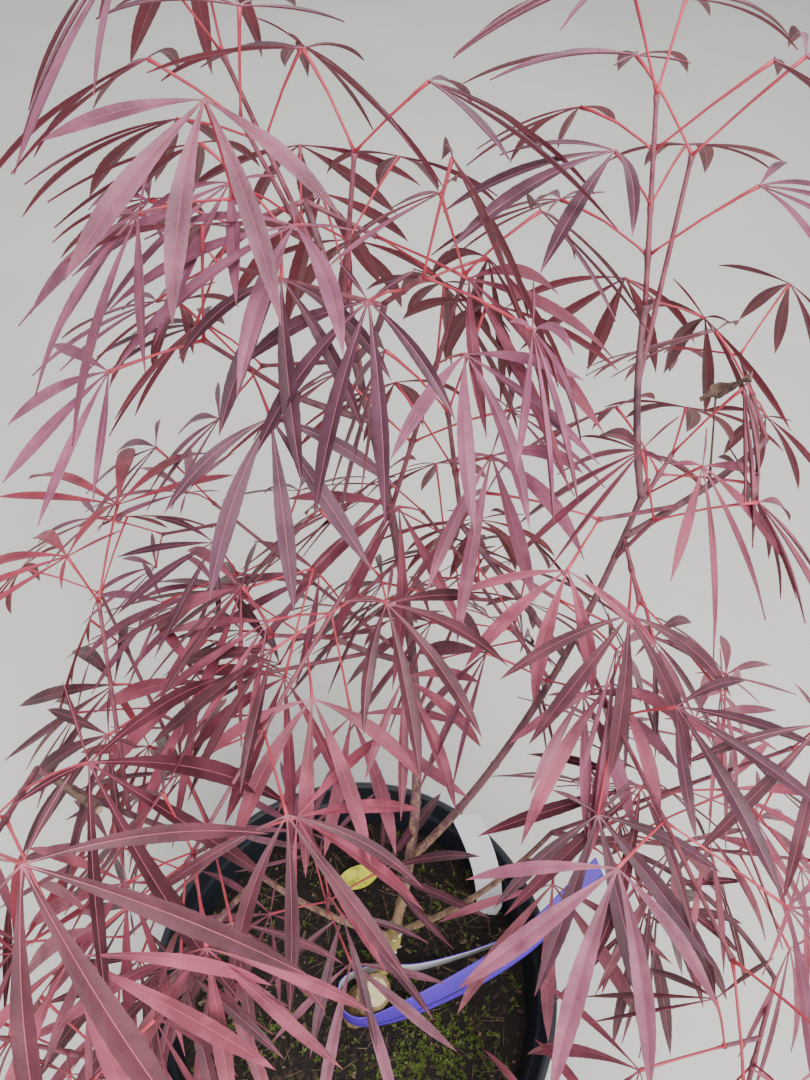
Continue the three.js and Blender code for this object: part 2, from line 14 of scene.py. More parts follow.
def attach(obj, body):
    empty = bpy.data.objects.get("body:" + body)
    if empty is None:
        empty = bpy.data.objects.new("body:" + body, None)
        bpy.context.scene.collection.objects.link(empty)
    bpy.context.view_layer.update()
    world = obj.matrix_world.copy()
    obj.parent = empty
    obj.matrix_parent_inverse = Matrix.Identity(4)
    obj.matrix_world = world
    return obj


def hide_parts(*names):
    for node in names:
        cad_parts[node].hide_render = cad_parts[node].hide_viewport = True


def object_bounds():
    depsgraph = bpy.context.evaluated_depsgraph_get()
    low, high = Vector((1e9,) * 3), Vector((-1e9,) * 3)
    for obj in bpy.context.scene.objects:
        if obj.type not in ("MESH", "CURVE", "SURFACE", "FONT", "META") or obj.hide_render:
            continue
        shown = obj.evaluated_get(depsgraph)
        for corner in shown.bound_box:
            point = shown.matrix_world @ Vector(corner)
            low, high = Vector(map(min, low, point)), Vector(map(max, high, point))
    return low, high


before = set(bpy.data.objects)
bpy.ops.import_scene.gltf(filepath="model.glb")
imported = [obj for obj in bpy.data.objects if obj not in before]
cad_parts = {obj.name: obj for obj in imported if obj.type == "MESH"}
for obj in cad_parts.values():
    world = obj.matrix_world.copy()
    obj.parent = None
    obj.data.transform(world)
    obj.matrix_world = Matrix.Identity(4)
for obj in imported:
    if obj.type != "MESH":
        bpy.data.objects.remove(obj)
cad_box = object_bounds()

MM = 0.001
UP = np.array([0.0, 0.0, 1.0])

# Camera: the photograph's viewpoint, looking down into the crown; the near clip is in metres
EYE = (15.2, -123.1, 687.6)
PITCH = 48.0
ROLL = -2.92
LENS = 27.03
SENSOR = 36
NEAR_CLIP = 0.01

# Lights, in metres and watts: name, place, the point it faces, width, power and colour
LIGHTS = (
    ("key", (0.4, -0.7, 2.6), (0, 0, 0.4), 1.6, 76, (1.0, 0.99, 0.97)),
    ("fill", (0.9, -1.9, 1.3), (0, 0, 0.35), 2.0, 43, (0.98, 0.98, 1.0)),
    ("back", (0.2, 2.2, 1.9), (0, 0, 0.4), 1.8, 16, (1, 1, 1)),
)
SKY_COLOUR = (0.92, 0.95, 1.0, 1)
SKY_STRENGTH = 0.8
FLOOR_REACH = 8

# Pot
POT_HEIGHT = 190
RIM_RADIUS = 112.5
BASE_RADIUS = 82
RIM_BAND = 18
RIM_STEP = 3.5
POT_WALL = 2.2
FLOOR_THICKNESS = 3
LIP_WIDTH = 4.5
POT_SIDES = 128
# Its outline, each part as distances out from a radius and up from a height
FOOT_OUTLINE = ((-4, 0), (-3, 0.8), (0, 1.0))
WALL_HEIGHTS = (20, 60, 100, 140, 171)
STEP_OUTLINE = ((-1.2, 0), (-0.6, 0.3), (-0.2, 1.2), (1.5, 8))
RIM_OUTLINE = ((-0.6, -4), (-0.1, -2), (-0.3, -0.9), (-1.2, -0.1), (-2.2, 0))
LIP_OUTLINE = ((1, -0.2), (0.2, -0.9), (0, -2))
# Inside the rim band: where the inner radius is taken, then out from it, and up from the step
BAND_OUTLINE = ((8, 1.4, 6), (3, 1.2, 4.2), (3, 0.4, 3.4), (2, 0, 2.4), (-4, 0, -4))
INNER_HEIGHTS = (150, 120, FLOOR_THICKNESS)
INNER_SHRINK = 0.02
AXIS_GAP = 0.01

# Compost: flat round the trunk, a little higher in a ring, and falling toward the wall
COMPOST_TOP = 155
COMPOST_UNEVEN = 3
FLAT_RADIUS = 30
# Its waves: height, then length and shift along X and along Y
COMPOST_WAVES = ((1.1, 11, 1, 9, 2), (0.7, 4.3, 0, 5.1, 1))

# Trunk: the rootstock, cut across on a slant, and the scion beside it
TRUNK_FOOT = (4, -10)
FLARE_RADIUS = 12.5
FLARE_FADE = 9
STOCK_RADIUS = 8
STOCK_TOP = (12, -9, 202)
STOCK_SINK = 2.0
STOCK_STEPS = 40
STOCK_SIDES = 26
STOCK_RIDGE = 0.05
STOCK_ROUGHNESS = 0.04
TOE_COUNT = 3
TOE_HEIGHT = 0.12
TOE_FADE = 5
CUT_FACE = (-0.15, -0.62, 0.77)
CUT_MIDDLE = (*STOCK_TOP[:2], 187)
# Rings of the cut: share of the stock's radius, and lift; the first of them are bark
CUT_RINGS = ((1.02, 0.25), (0.9, 0.7), (0.8, 0.35), (0.4, 0.3), (0.02, 0.3))
CUT_BARK_RINGS = 2
CUT_STRETCH = 0.98
SCION_START = (9.5, -4.5, 168)
FORK = (21, 15, 228)
SCION_BOW = 5
BOW_BEARING = -60
SCION_RADII = (3.5, 3.2)
SCION_STEPS = 40
SCION_SIDES = 18
SCION_ROUGHNESS = 0.06
NODE_SWELL = 1.3
NODE_PLACE = 0.8
NODE_LENGTH = 0.08
# Pale flakes round the scion's joints: share of the way up it, and how many
FLAKES = ((0.55, 6), (0.76, 16), (0.9, 5))
FLAKE_SPREAD = 0.05
FLAKE_SIZE = (1.5, 1.0)
FLAKE_THICKNESS = (0.3, 0.4)
FLAKE_RISE = 0.15
FLAKE_LIFT = 0.1
STOCK_BARK, SAWN_WOOD, SCION_BARK, PALE_FLAKE = 0, 1, 2, 3

# Leaf: the angle and share of length of each strap, and of two small basal lobes that some leaves have
STRAPS = ((0, 1), (32, 0.96), (-32, 0.96), (66, 0.72), (-66, 0.72))
BASAL_STRAPS = ((132, 0.26), (-132, 0.26))
BASAL_CHANCE = 0.3
BASAL_TURN = 20
BASAL_SAG = 8
STRAP_WIDTH = 0.095
LOW_STRAP_WIDTH = 0.076
STRAP_WIDEST = 0.46
STRAP_TURN = 9
STRAP_SAG = 13
STRAP_STEPS = 30
STALK_LENGTH = 34
STALK_RADIUS = 0.46
STALK_SPREAD = 58
END_SPREAD = 38
STALK_SINK = 0.08
SHOOT_RADII = (0.95, 0.7)

# How much leaves differ: the whole range, or the least value and the most that is added to it
SPREAD_RANGE = 16
DROOP_RANGE = 30
ROLL_RANGE = 24
DRIFT_RANGE = 0.18
STALK_VARIES = (0.8, 0.4)
LEAF_VARIES = (0.88, 0.24)
STRAP_VARIES = (0.92, 0.16)
SAG_VARIES = (0.5, 1)
FOLD_VARIES = (0.18, 0.4)
STALK_ARCH = (0.6, 4.5)

# A leaf on a nearly upright stalk faces outward, and the others turn outward a little
LEVEL_LEAST = 0.15
OUTWARD_LEAN = 0.35

# Limbs: name, parent, share of the way along it, tip, bow, the bow's bearing, radii
LIMBS = (
    ("main_stem", "trunk", 1, (-22, 128, 567), 44, -8, (2.7, 1.2)),
    ("right_stem", "main_stem", 0.15, (100, 88, 492), 22, -50, (2.1, 1)),
    ("left_bough", "trunk", 0.84, (-58, 8, 360), 18, -150, (1.8, 1)),
    ("low_right_bough", "trunk", 0.9, (85, 20, 345), 12, -60, (1.8, 1)),
    ("left_high_bough", "main_stem", 0.8, (-27, 100, 512), 4, 180, (1.4, 1.1)),
    ("high_middle_bough", "main_stem", 0.86, (5, 102, 548), 4, 0, (1.4, 1.1)),
    ("left_middle_bough", "main_stem", 0.5, (-10, 60, 425), 5, 200, (1.5, 1.1)),
    ("centre_bough", "right_stem", 0.66, (35, 72, 480), 16, -60, (1.5, 1.1)),
    ("far_right_bough", "right_stem", 0.9, (140, 98, 504), 6, 0, (1.35, 1.1)),
    ("upright_bough", "right_stem", 0.97, (89, 112, 546), 4, 180, (1.3, 1.1)),
    ("left_front_bough", "left_bough", 0.9, (-95, -12, 450), 8, 200, (1.25, 1)),
    ("front_left_bough", "left_bough", 0.7, (-80, -70, 330), 10, 180, (1.4, 1)),
    ("front_right_bough", "low_right_bough", 1, (165, -35, 350), 30, 45, (1.3, 1)),
)
LIMB_SIDES = 14
LIMB_STEP = 1.6
LIMB_LEAST_STEPS = 12
LIMB_RIDGE = 0.06
LIMB_ROUGHNESS = 0.05
# Old joints along a limb: how far apart, how uneven, how swollen, and the groove beside each
KNOT_SPACING = 36
KNOT_UNEVEN = 0.4
KNOT_SWELL = 0.2
KNOT_LENGTH = 1.8
GROOVE_BAND = (1.0, 2.2)
GROOVE_DEPTH = 0.08
# Bark turns woody below this height, over a mottled band
WOODY_HEIGHT = 300
WOODY_FADE = 90
YOUNG_BARK, WOODY_BARK = 0, 1

# Shoots: name, limb, share of the way along it, bearing, rise, length, pairs of leaves, leaf size, droop,
# phase, seed, colour
SHOOTS = (
    ("left_front", "left_front_bough", 1, 285, 40, 50, 3, 82, 50, 30, 290, "pink"),
    ("centre_front", "main_stem", 0.64, -110, 30, 45, 2, 58, 40, 130, 382, "wine"),
    ("left_middle", "left_middle_bough", 1, 210, 35, 30, 2, 70, 40, 10, 154, "pink"),
    ("high_middle", "high_middle_bough", 1, -35, 45, 20, 2, 64, 60, 170, 86, "mauve"),
    ("left_upper", "main_stem", 0.96, 235, 40, 45, 2, 58, 40, 150, 230, "dark"),
    ("left_high", "left_high_bough", 1, 225, 50, 45, 2, 56, 40, 170, 365, "mauve"),
    ("right_high", "right_stem", 0.94, 50, 45, 25, 3, 58, 50, 120, 220, "burgundy"),
    ("right_low", "low_right_bough", 0.8, -10, 55, 65, 3, 76, 60, 140, 142, "wine"),
    ("right_front", "low_right_bough", 1, -5, 55, 115, 4, 58, 30, 20, 55, "pink"),
    ("centre_top", "centre_bough", 1, 135, 75, 45, 2, 60, 60, 80, 285, "dark"),
    ("top_middle", "main_stem", 0.9, 5, 85, 55, 2, 60, 20, 150, 328, "mauve"),
    ("top_right", "upright_bough", 1, 105, 65, 60, 4, 54, 20, 130, 394, "mauve"),
    ("top_left", "main_stem", 0.92, 150, 60, 75, 3, 60, 40, 20, 145, "mauve"),
    ("high_right", "main_stem", 0.7, 35, 75, 95, 3, 54, 40, 60, 24, "mauve"),
    ("far_right", "far_right_bough", 1, 90, 5, 45, 2, 54, 50, 50, 357, "mauve"),
    ("high_left", "main_stem", 1, 185, -20, 25, 1, 60, 40, 90, 69, "mauve"),
    ("high_centre", "main_stem", 1, -10, -20, 25, 1, 78, 50, 140, 13, "burgundy"),
    ("top_edge", "main_stem", 0.92, 180, 65, 60, 1, 62, 20, 80, 101, "mauve"),
    ("left_foot", "left_bough", 0.94, 285, 65, 90, 3, 72, 50, 100, 284, "pink"),
    ("front_low", "left_bough", 0.34, -45, 85, 35, 3, 60, 20, 70, 27, "dark"),
    ("left_low", "left_bough", 1, 125, 25, 110, 4, 60, 50, 70, 132, "crimson"),
    ("right_middle", "right_stem", 0.9, -80, -20, 25, 2, 58, 50, 120, 329, "burgundy"),
    ("right_edge", "low_right_bough", 1, -10, 15, 100, 4, 64, 50, 10, 209, "wine"),
    ("left_crown", "main_stem", 0.7, 245, -15, 140, 3, 64, 45, 120, 213, "burgundy"),
    ("left_side", "left_bough", 0.9, 225, -10, 50, 3, 70, 35, 140, 310, "wine"),
    ("right_side", "right_stem", 0.7, -80, 15, 130, 3, 66, 20, 70, 389, "dark"),
    ("back_right", "right_stem", 0.6, 130, 20, 75, 3, 78, 55, 10, 139, "burgundy"),
    ("back_middle", "main_stem", 0.42, 70, 10, 85, 3, 62, 55, 160, 6, "dark"),
    ("back_left", "main_stem", 0.5, 150, 20, 110, 3, 58, 25, 70, 181, "dark"),
    ("front_middle", "front_left_bough", 0.86, -70, 70, 80, 3, 54, 65, 30, 379, "wine"),
    ("front_left", "front_left_bough", 1, -180, 50, 70, 3, 68, 20, 70, 242, "crimson"),
    ("front_right", "front_right_bough", 1, -120, 5, 100, 3, 74, 45, 80, 360, "pink"),
)

# Finer shoots, by the same rule, between the large ones
FINER_SHOOTS = (
    ("f1", "main_stem", 0.82, 105, 40, 40, 1, 66, 70, 70, 10, "dark"),
    ("f3", "right_stem", 0.86, -15, 70, 25, 1, 58, 40, 100, 226, "burgundy"),
    ("f4", "upright_bough", 0.96, 65, -20, 25, 1, 66, 60, 10, 131, "dark"),
    ("f5", "low_right_bough", 0.7, 25, 10, 95, 1, 76, 30, 10, 247, "burgundy"),
    ("f6", "main_stem", 0.72, -130, -15, 40, 1, 64, 40, 120, 216, "pink"),
    ("f7", "left_front_bough", 0.53, 100, 55, 80, 1, 76, 30, 80, 237, "crimson"),
    ("f8", "left_middle_bough", 0.49, -160, 5, 75, 1, 64, 40, 30, 317, "wine"),
    ("f9", "far_right_bough", 0.33, -155, 10, 35, 1, 58, 60, 0, 243, "burgundy"),
    ("f10", "right_stem", 0.59, -115, 60, 20, 1, 60, 50, 0, 252, "dark"),
    ("f11", "centre_bough", 0.84, -20, -20, 30, 1, 72, 60, 140, 165, "dark"),
    ("f12", "main_stem", 0.86, 160, -20, 40, 1, 62, 30, 120, 59, "dark"),
    ("f13", "high_middle_bough", 0.96, 160, 0, 60, 1, 56, 40, 110, 32, "mauve"),
    ("f14", "upright_bough", 0.61, 80, 65, 70, 1, 64, 20, 160, 388, "mauve"),
)
PAIR_TURN = 90

# Side twigs: these shoots carry finer twigs with smaller leaves between their pairs
TWIGGY = ("front_right", "back_right", "back_left")
TWIG_LENGTH = 34
TWIG_VARIES = (0.7, 0.6)
TWIG_PLACE = (0.45, 0.3)
TWIG_PHASE = 45
TWIG_AHEAD = 0.75
TWIG_RISE = 0.1
TWIG_RADII = (0.9, 0.65)
TWIG_PAIR_TURN = 60
TWIG_LEAF_SHARE = 0.85
TWIG_LEAF_DROOP = 8
TWIG_LEAF_SPREAD = 42
TWIG_STALK_SHARE = 0.8

# How far a twig's leaf may pass the solids' box
CROWN_MARGIN = 6

# Masses low in front, at the sides and at the back, whose straps are narrower
NARROW = ("left_front", "front_low", "front_middle", "front_left", "front_right", "left_foot", "left_side",
          "left_crown", "left_low", "right_low", "right_edge", "right_front", "back_right", "back_left")

# Seeds of the draws: a first number, then steps per shoot, per leaf or pair, and per side
LEAF_SEED = (1, 1009, 37)
TWIG_SEED = (5, 131)
TWIG_LEAF_SEED = (3, 2027, 211, 53)
BLADE_SEED = 7
LIMB_SEED = (11, 97)
TRUNK_SEED = 77
COMPOST_SEED = 501
CRUMB_SEED = 911
MOSS_SEED = 313
DEAD_LEAF_SEED = 619


def draws(seed):
    """Returns a function that gives a repeatable row of fractions between 0 and 1."""
    state = seed

    def draw():
        nonlocal state
        state = state * 48271 % 2147483647
        return state / 2147483647

    draw()
    draw()
    draw()
    return draw


def around(draw, width):
    """A value within half the width of nought, on either side."""
    return width * (draw() - 0.5)


def vary(draw, least_and_more):
    """A value between the first number and the sum of both."""
    least, more = least_and_more
    return least + more * draw()


def mix(ends, t):
    return ends[0] + (ends[1] - ends[0]) * t


def unit(v):
    return v / max(np.linalg.norm(v), 1e-12)


def turned(v, axis, angle):
    """Turns a vector about a unit axis."""
    c, s = cos(angle), sin(angle)
    return v * c + np.cross(axis, v) * s + axis * np.dot(axis, v) * (1 - c)


def heading(bearing, rise):
    b, r = radians(bearing), radians(rise)
    return np.array([cos(r) * cos(b), cos(r) * sin(b), sin(r)])


# Curves

LENGTH_STEPS = 24


class Bend:
    """A quadratic curve through three control points."""

    def __init__(self, start, middle, tip):
        self.points = [np.array(p, float) for p in (start, middle, tip)]

    def at(self, t):
        a, b, c = self.points
        return a * (1 - t) ** 2 + b * 2 * t * (1 - t) + c * t ** 2

    def length(self):
        points = [self.at(i / LENGTH_STEPS) for i in range(LENGTH_STEPS + 1)]
        return sum(np.linalg.norm(q - p) for p, q in zip(points, points[1:]))


def bent(start, tip, bow, toward):
    """A curve from start to tip whose middle is pulled aside by bow."""
    start, tip = np.array(start, float), np.array(tip, float)
    side = heading(toward, 0)
    return Bend(start, (start + tip) / 2 + side * bow, tip)


def smooth_line(points, count):
    """Points spread along a smooth curve through the given ones, and the place of each among them."""
    points = np.array(points, float)
    ends = [2 * points[0] - points[1], *points, 2 * points[-1] - points[-2]]
    out = []
    for i in range(count + 1):
        place = i / count * (len(points) - 1)
        k = min(int(place), len(points) - 2)
        t = place - k
        a, b, c, d = ends[k:k + 4]
        square = (2 * a - 5 * b + 4 * c - d) * t ** 2
        cube = (3 * b - a - 3 * c + d) * t ** 3
        out.append(0.5 * ((2 * b) + (c - a) * t + square + cube))
    return np.array(out), np.linspace(0, len(points) - 1, count + 1)


# Meshes

NEARLY_UPRIGHT = 0.98


def placed(name, data):
    """A new object in the scene."""
    obj = bpy.data.objects.new(name, data)
    bpy.context.scene.collection.objects.link(obj)
    return obj


class Shape:
    """Collects points and faces, each face with the number of its material."""

    def __init__(self):
        self.points = []
        self.faces = []
        self.kinds = []
        self.count = 0

    def add(self, points, faces, kind=0):
        """Adds a block of points, and faces that count from its first point, and returns the shape."""
        points = np.asarray(points, float)
        self.points.append(points)
        self.faces += [[i + self.count for i in face] for face in faces]
        self.kinds += [kind] * len(faces) if isinstance(kind, int) else list(kind)
        self.count += len(points)
        return self

    def piece(self, name, looks, slot, nodes=(), smooth=True):
        mesh = bpy.data.meshes.new(name)
        mesh.from_pydata((np.concatenate(self.points) * MM).tolist(), [], self.faces)
        for look in looks:
            mesh.materials.append(bpy.data.materials.get(look) or material(look, *LOOKS[look]))
        mesh.polygons.foreach_set("material_index", self.kinds)
        mesh.polygons.foreach_set("use_smooth", [smooth] * len(self.faces))
        mesh.update()
        obj = placed(name, mesh)
        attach(obj, "root")
        if nodes:
            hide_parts(*nodes)


def ring_faces(rings, sides):
    """Quads that join each ring of points to the next."""
    faces = []
    for i in range(rings - 1):
        for j in range(sides):
            k = (j + 1) % sides
            faces.append((i * sides + j, i * sides + k, (i + 1) * sides + k, (i + 1) * sides + j))
    return faces


def grid_faces(rows, across):
    """Quads between the points of neighbouring rows."""
    faces = []
    for i in range(rows - 1):
        for j in range(across - 1):
            a = i * across + j
            faces.append((a, a + 1, a + across + 1, a + across))
    return faces


def flipped(faces):
    """The same quads, facing the other way."""
    return [(a, d, c, b) for a, b, c, d in faces]


def ring(sides):
    """Cosine and sine of evenly spread angles round a circle."""
    angles = [2 * pi * j / sides for j in range(sides)]
    return [(cos(a), sin(a)) for a in angles]


def tube(shape, centres, radii, sides, kind=0, relief=None):
    """A closed tube along its centres; relief gives a share of radius at a step and side."""
    centres = np.asarray(centres, float)
    steps = len(centres)
    tangents = np.gradient(centres, axis=0)
    upright = abs(unit(tangents[0])[2]) >= NEARLY_UPRIGHT
    side = np.array([1.0, 0, 0]) if upright else unit(np.cross(UP, tangents[0]))
    points = []
    for i in range(steps):
        along = unit(tangents[i])
        side = unit(side - along * np.dot(side, along))
        other = np.cross(along, side)
        for j, (c, s) in enumerate(ring(sides)):
            r = radii[i] * (1 + (relief(i, j) if relief else 0))
            points.append(centres[i] + side * c * r + other * s * r)
    faces = ring_faces(steps, sides)
    faces.append(tuple(range(sides))[::-1])
    faces.append(tuple((steps - 1) * sides + j for j in range(sides)))
    shape.add(points, faces, kind)


# Materials

RELIEF_DEPTH = 0.0005
RELIEF_DETAIL = 3.0

# Roughness, scale of the colour pattern, strength and scale of the relief, stretch upright, and the colours
LOOKS = {
    "floor_pale": (0.8, 3, 0.02, 900, 1, ((196, 194, 188), (204, 202, 196))),
    "leaf_stalks": (0.45, 60, 0.1, 900, 1, ((168, 52, 68), (196, 74, 88))),
    "young_shoots": (0.55, 120, 0.3, 900, 1, ((112, 48, 60), (138, 76, 88), (104, 56, 66))),
    "limb_bark": (0.7, 160, 0.5, 500, 0.25, ((94, 56, 66), (128, 86, 92), (80, 48, 58))),
    "limb_wood": (0.75, 160, 0.6, 500, 0.25, ((118, 92, 70), (152, 124, 94), (96, 72, 58))),
    "stock_bark": (0.85, 140, 0.8, 420, 0.4, ((112, 88, 58), (150, 122, 84), (92, 72, 50))),
    "sawn_wood": (0.75, 180, 0.5, 900, 1, ((206, 190, 140), (226, 212, 168), (186, 164, 116))),
    "scion_bark": (0.6, 120, 0.5, 500, 0.3, ((140, 128, 56), (168, 156, 78), (116, 96, 64))),
    "bark_flakes": (0.8, 300, 0.4, 900, 1, ((206, 192, 160), (232, 222, 198))),
    "pot_plastic": (0.42, 40, 0.15, 1600, 1, ((26, 30, 36), (32, 37, 44))),
    "compost_dark": (0.95, 260, 1, 900, 1, ((15, 12, 10), (34, 26, 20), (22, 18, 15))),
    "chip_dark": (0.9, 400, 0.6, 900, 1, ((20, 16, 13), (38, 29, 23))),
    "chip_brown": (0.9, 400, 0.6, 900, 1, ((40, 30, 23), (62, 46, 35))),
    "chip_tan": (0.9, 400, 0.6, 900, 1, ((92, 74, 56), (124, 104, 82))),
    "moss_green": (0.7, 300, 0.2, 900, 1, ((70, 90, 30), (106, 124, 46))),
    "moss_dull": (0.7, 300, 0.2, 900, 1, ((58, 68, 28), (88, 98, 42))),
    "fallen_yellow": (0.5, 160, 0.4, 900, 1, ((188, 198, 22), (222, 222, 50), (164, 160, 40))),
    "dead_leaf": (0.85, 260, 0.6, 900, 1, ((74, 56, 50), (112, 88, 76), (58, 42, 38))),
    "torn_end": (0.85, 400, 0.5, 900, 1, ((168, 136, 112), (196, 168, 140))),
    "tag_violet": (0.5, 30, 0.05, 900, 1, ((84, 46, 186), (98, 56, 206))),
    "tag_stripe": (0.5, 30, 0.05, 900, 1, ((50, 30, 124), (58, 38, 138))),
    "tag_white": (0.35, 30, 0.05, 900, 1, ((222, 222, 226), (234, 234, 236))),
    "label_white": (0.35, 30, 0.05, 900, 1, ((246, 247, 248), (250, 251, 252))),
}


def linear(r, g, b):
    """A screen colour, 0 to 255, as the plain numbers that a shader takes, by the standard screen curve."""
    shares = [((c / 255 + 0.055) / 1.055) ** 2.4 if c > 10 else c / 255 / 12.92 for c in (r, g, b)]
    return (*shares, 1.0)


def material(name, roughness, scale, bump, bump_scale, stretch, colours,
             specular=0.5, detail=4.0, spread=(0.35, 0.65)):
    """A shader whose colour wanders between the given ones in a fine pattern, with a fine relief."""
    m = bpy.data.materials.new(name)
    m.use_nodes = True
    nodes = m.node_tree.nodes

    def node(kind, **values):
        made = nodes.new("ShaderNode" + kind)
        for socket, value in values.items():
            made.inputs[socket].default_value = value
        return made

    def link(source, output, target, socket):
        m.node_tree.links.new(source.outputs[output], target.inputs[socket])

    shader = nodes["Principled BSDF"]
    shader.inputs["Roughness"].default_value = roughness
    shader.inputs["Specular IOR Level"].default_value = specular
    mapping = node("Mapping", Scale=(1, 1, stretch))
    pattern = node("TexNoise", Scale=scale, Detail=detail)
    ramp = node("ValToRGB")
    ends = ramp.color_ramp.elements
    ends[0].position, ends[1].position = spread
    ends[0].color, ends[1].color = linear(*colours[0]), linear(*colours[-1])
    for i, colour in enumerate(colours[1:-1]):
        share = (i + 1) / (len(colours) - 1)
        ends.new(mix(spread, share)).color = linear(*colour)
    fine = node("TexNoise", Scale=bump_scale, Detail=RELIEF_DETAIL)
    relief = node("Bump", Strength=bump, Distance=RELIEF_DEPTH)
    link(node("TexCoord"), "Object", mapping, "Vector")
    link(mapping, "Vector", pattern, "Vector")
    link(pattern, "Fac", ramp, "Fac")
    link(ramp, "Color", shader, "Base Color")
    link(mapping, "Vector", fine, "Vector")
    link(fine, "Fac", relief, "Height")
    link(relief, "Normal", shader, "Normal")
    return m


# Leaves

# For each colour: upper side, rib and lower side, each as two near colours
LEAF_COLOURS = {
    "pink": (
        ((112, 48, 62), (150, 72, 90)), ((170, 86, 104), (154, 76, 92)), ((124, 52, 62), (142, 62, 72))),
    "burgundy": (
        ((112, 52, 68), (150, 78, 94)), ((158, 82, 98), (142, 72, 86)), ((118, 50, 60), (136, 60, 70))),
    "wine": (
        ((104, 50, 62), (142, 74, 88)), ((156, 78, 92), (140, 68, 82)), ((116, 46, 54), (134, 56, 64))),
    "mauve": (
        ((110, 58, 80), (146, 86, 110)), ((162, 92, 110), (146, 82, 98)), ((118, 54, 64), (136, 64, 74))),
    "dark": (
        ((102, 54, 70), (136, 78, 98)), ((150, 78, 94), (134, 70, 84)), ((114, 48, 58), (132, 56, 66))),
    "crimson": (
        ((112, 36, 50), (148, 54, 70)), ((168, 68, 82), (152, 60, 74)), ((122, 40, 48), (142, 48, 58))),
}
# The deep upper side is partly painted shade, and the bright upper side is partly painted light
UPPER, RIB, LOWER, DEEP_AND_SHADED, BRIGHT_AND_LIT = 0, 1, 2, 3, 4
UPPER_LOOK = (0.45, 60, 0.35, 700, 1)
UPPER_SHEEN = {"specular": 0.32, "detail": 8.0, "spread": (0.4, 0.6)}
RIB_LOOK = (0.4, 200, 0.1, 900, 1)
LOWER_LOOK = (0.6, 90, 0.3, 700, 1)

# Tones of the upper sides, dealt at random by leaf: the share of leaves that are deep or bright, and how deep
# or bright;
# the deep tone is partly painted shade and the bright tone partly painted light, for whole leaves in shade
# and in light
DEEP_AND_SHADED_SHARE = 0.35
DEEP_AND_SHADED_TONE = 0.66
BRIGHT_AND_LIT_SHARE = 0.3
BRIGHT_AND_LIT_TONE = 1.12

# Half a strap's width at each station, as a share of the widest: drawn in at the foot, long in the point
FOOT_POWER = 1.5
POINT_POWER = 1.1
FOOT_WIDTH = 0.13
FOOT_FADE = 8
LEAST_WIDTH = 0.012
STATIONS = np.linspace(0, 1, STRAP_STEPS + 1)
OUTLINE = STATIONS ** FOOT_POWER * (1 - STATIONS) ** POINT_POWER
OUTLINE = OUTLINE / OUTLINE.max() + FOOT_WIDTH * (1 - STATIONS) ** FOOT_FADE
OUTLINE = np.maximum(OUTLINE, LEAST_WIDTH)

# Teeth along the edge, as a share of the width, except near the foot and the point
TOOTH_DEPTH = 0.022
FIRST_TOOTH = 0.12
LAST_TOOTH = 0.97
TOOTHED = (STATIONS > FIRST_TOOTH) * (STATIONS < LAST_TOOTH)
TEETH = 1 + TOOTH_DEPTH * (1 - 2 * (np.arange(STRAP_STEPS + 1) % 2)) * TOOTHED

# Rows of a strap's upper half, from the rib to the edge, as shares of its width
BLADE_ROWS = (0, 0.35, 0.75, 1)
BLADE_THICKNESS = 0.25
FOLD_EASE = 0.45

# Rib: its half width as a share of the strap's, least and most, and its wider foot
RIB_SHARE = 0.045
RIB_LEAST = 0.11
RIB_MOST_SHARE = 0.8
RIB_FOOT = 0.07
RIB_FOOT_SLOPE = 10
RIB_CREST = (0.2, 0.16)
UNDER_RIB = (0.28, 0.06)
PALE_RIB_LENGTH = 40

# How a strap bends: aside, aside with its angle, up in its middle, down at its point, and about its rib
STRAP_BOW = 0.22
OUTER_BOW = 0.12
BOW_RETURN = 0.35
STRAP_ARCH = 0.08
TIP_BEND = 0.6
STRAP_TWIST = 40
WIDTH_RANGE = 0.2

STALK_STATIONS = (0, 0.12, 0.5, 0.85, 1)
STALK_END = 1.5
STALK_TAPER = (0.85, 0.5)
STALK_SIDES = 6
STALK_UNDER = 0.2


def leaf_plan(root, along, side, seed, leaf, droop, spread, stalk_share=1.0):
    """Where a leaf's stalk starts and ends, how its blade lies, and each strap's turn, length and sag."""
    draw = draws(seed)
    wide = radians(spread + around(draw, SPREAD_RANGE))
    reach = unit(along * cos(wide) + side * sin(wide))
    stalk = STALK_LENGTH * vary(draw, STALK_VARIES) * stalk_share
    joint = root + reach * stalk - UP * STALK_SINK * stalk
    outward = unit(joint * (1, 1, 0))
    level = reach * (1, 1, 0)
    ahead = unit(level) if np.linalg.norm(level) > LEVEL_LEAST else outward
    drift = np.array([draw() - 0.5, draw() - 0.5, 0]) * DRIFT_RANGE
    face = unit(ahead + outward * OUTWARD_LEAN + drift)
    dip = radians(droop + around(draw, DROOP_RANGE))
    axis = face * cos(dip) - UP * sin(dip)
    across = turned(np.cross(UP, face), axis, radians(around(draw, ROLL_RANGE)))
    normal = np.cross(axis, across)
    scale = leaf * vary(draw, LEAF_VARIES)
    straps = []
    for angle, share in STRAPS:
        turn = radians(angle + around(draw, STRAP_TURN))
        length = scale * share * vary(draw, STRAP_VARIES)
        sag = radians(STRAP_SAG * vary(draw, SAG_VARIES))
        straps.append((turn, length, sag))
    for angle, share in BASAL_STRAPS if draw() < BASAL_CHANCE else ():
        turn = radians(angle + around(draw, BASAL_TURN))
        straps.append((turn, scale * share, radians(BASAL_SAG)))
    return {"root": root, "joint": joint, "axis": axis, "across": across, "normal": normal,
            "straps": straps, "seed": seed}


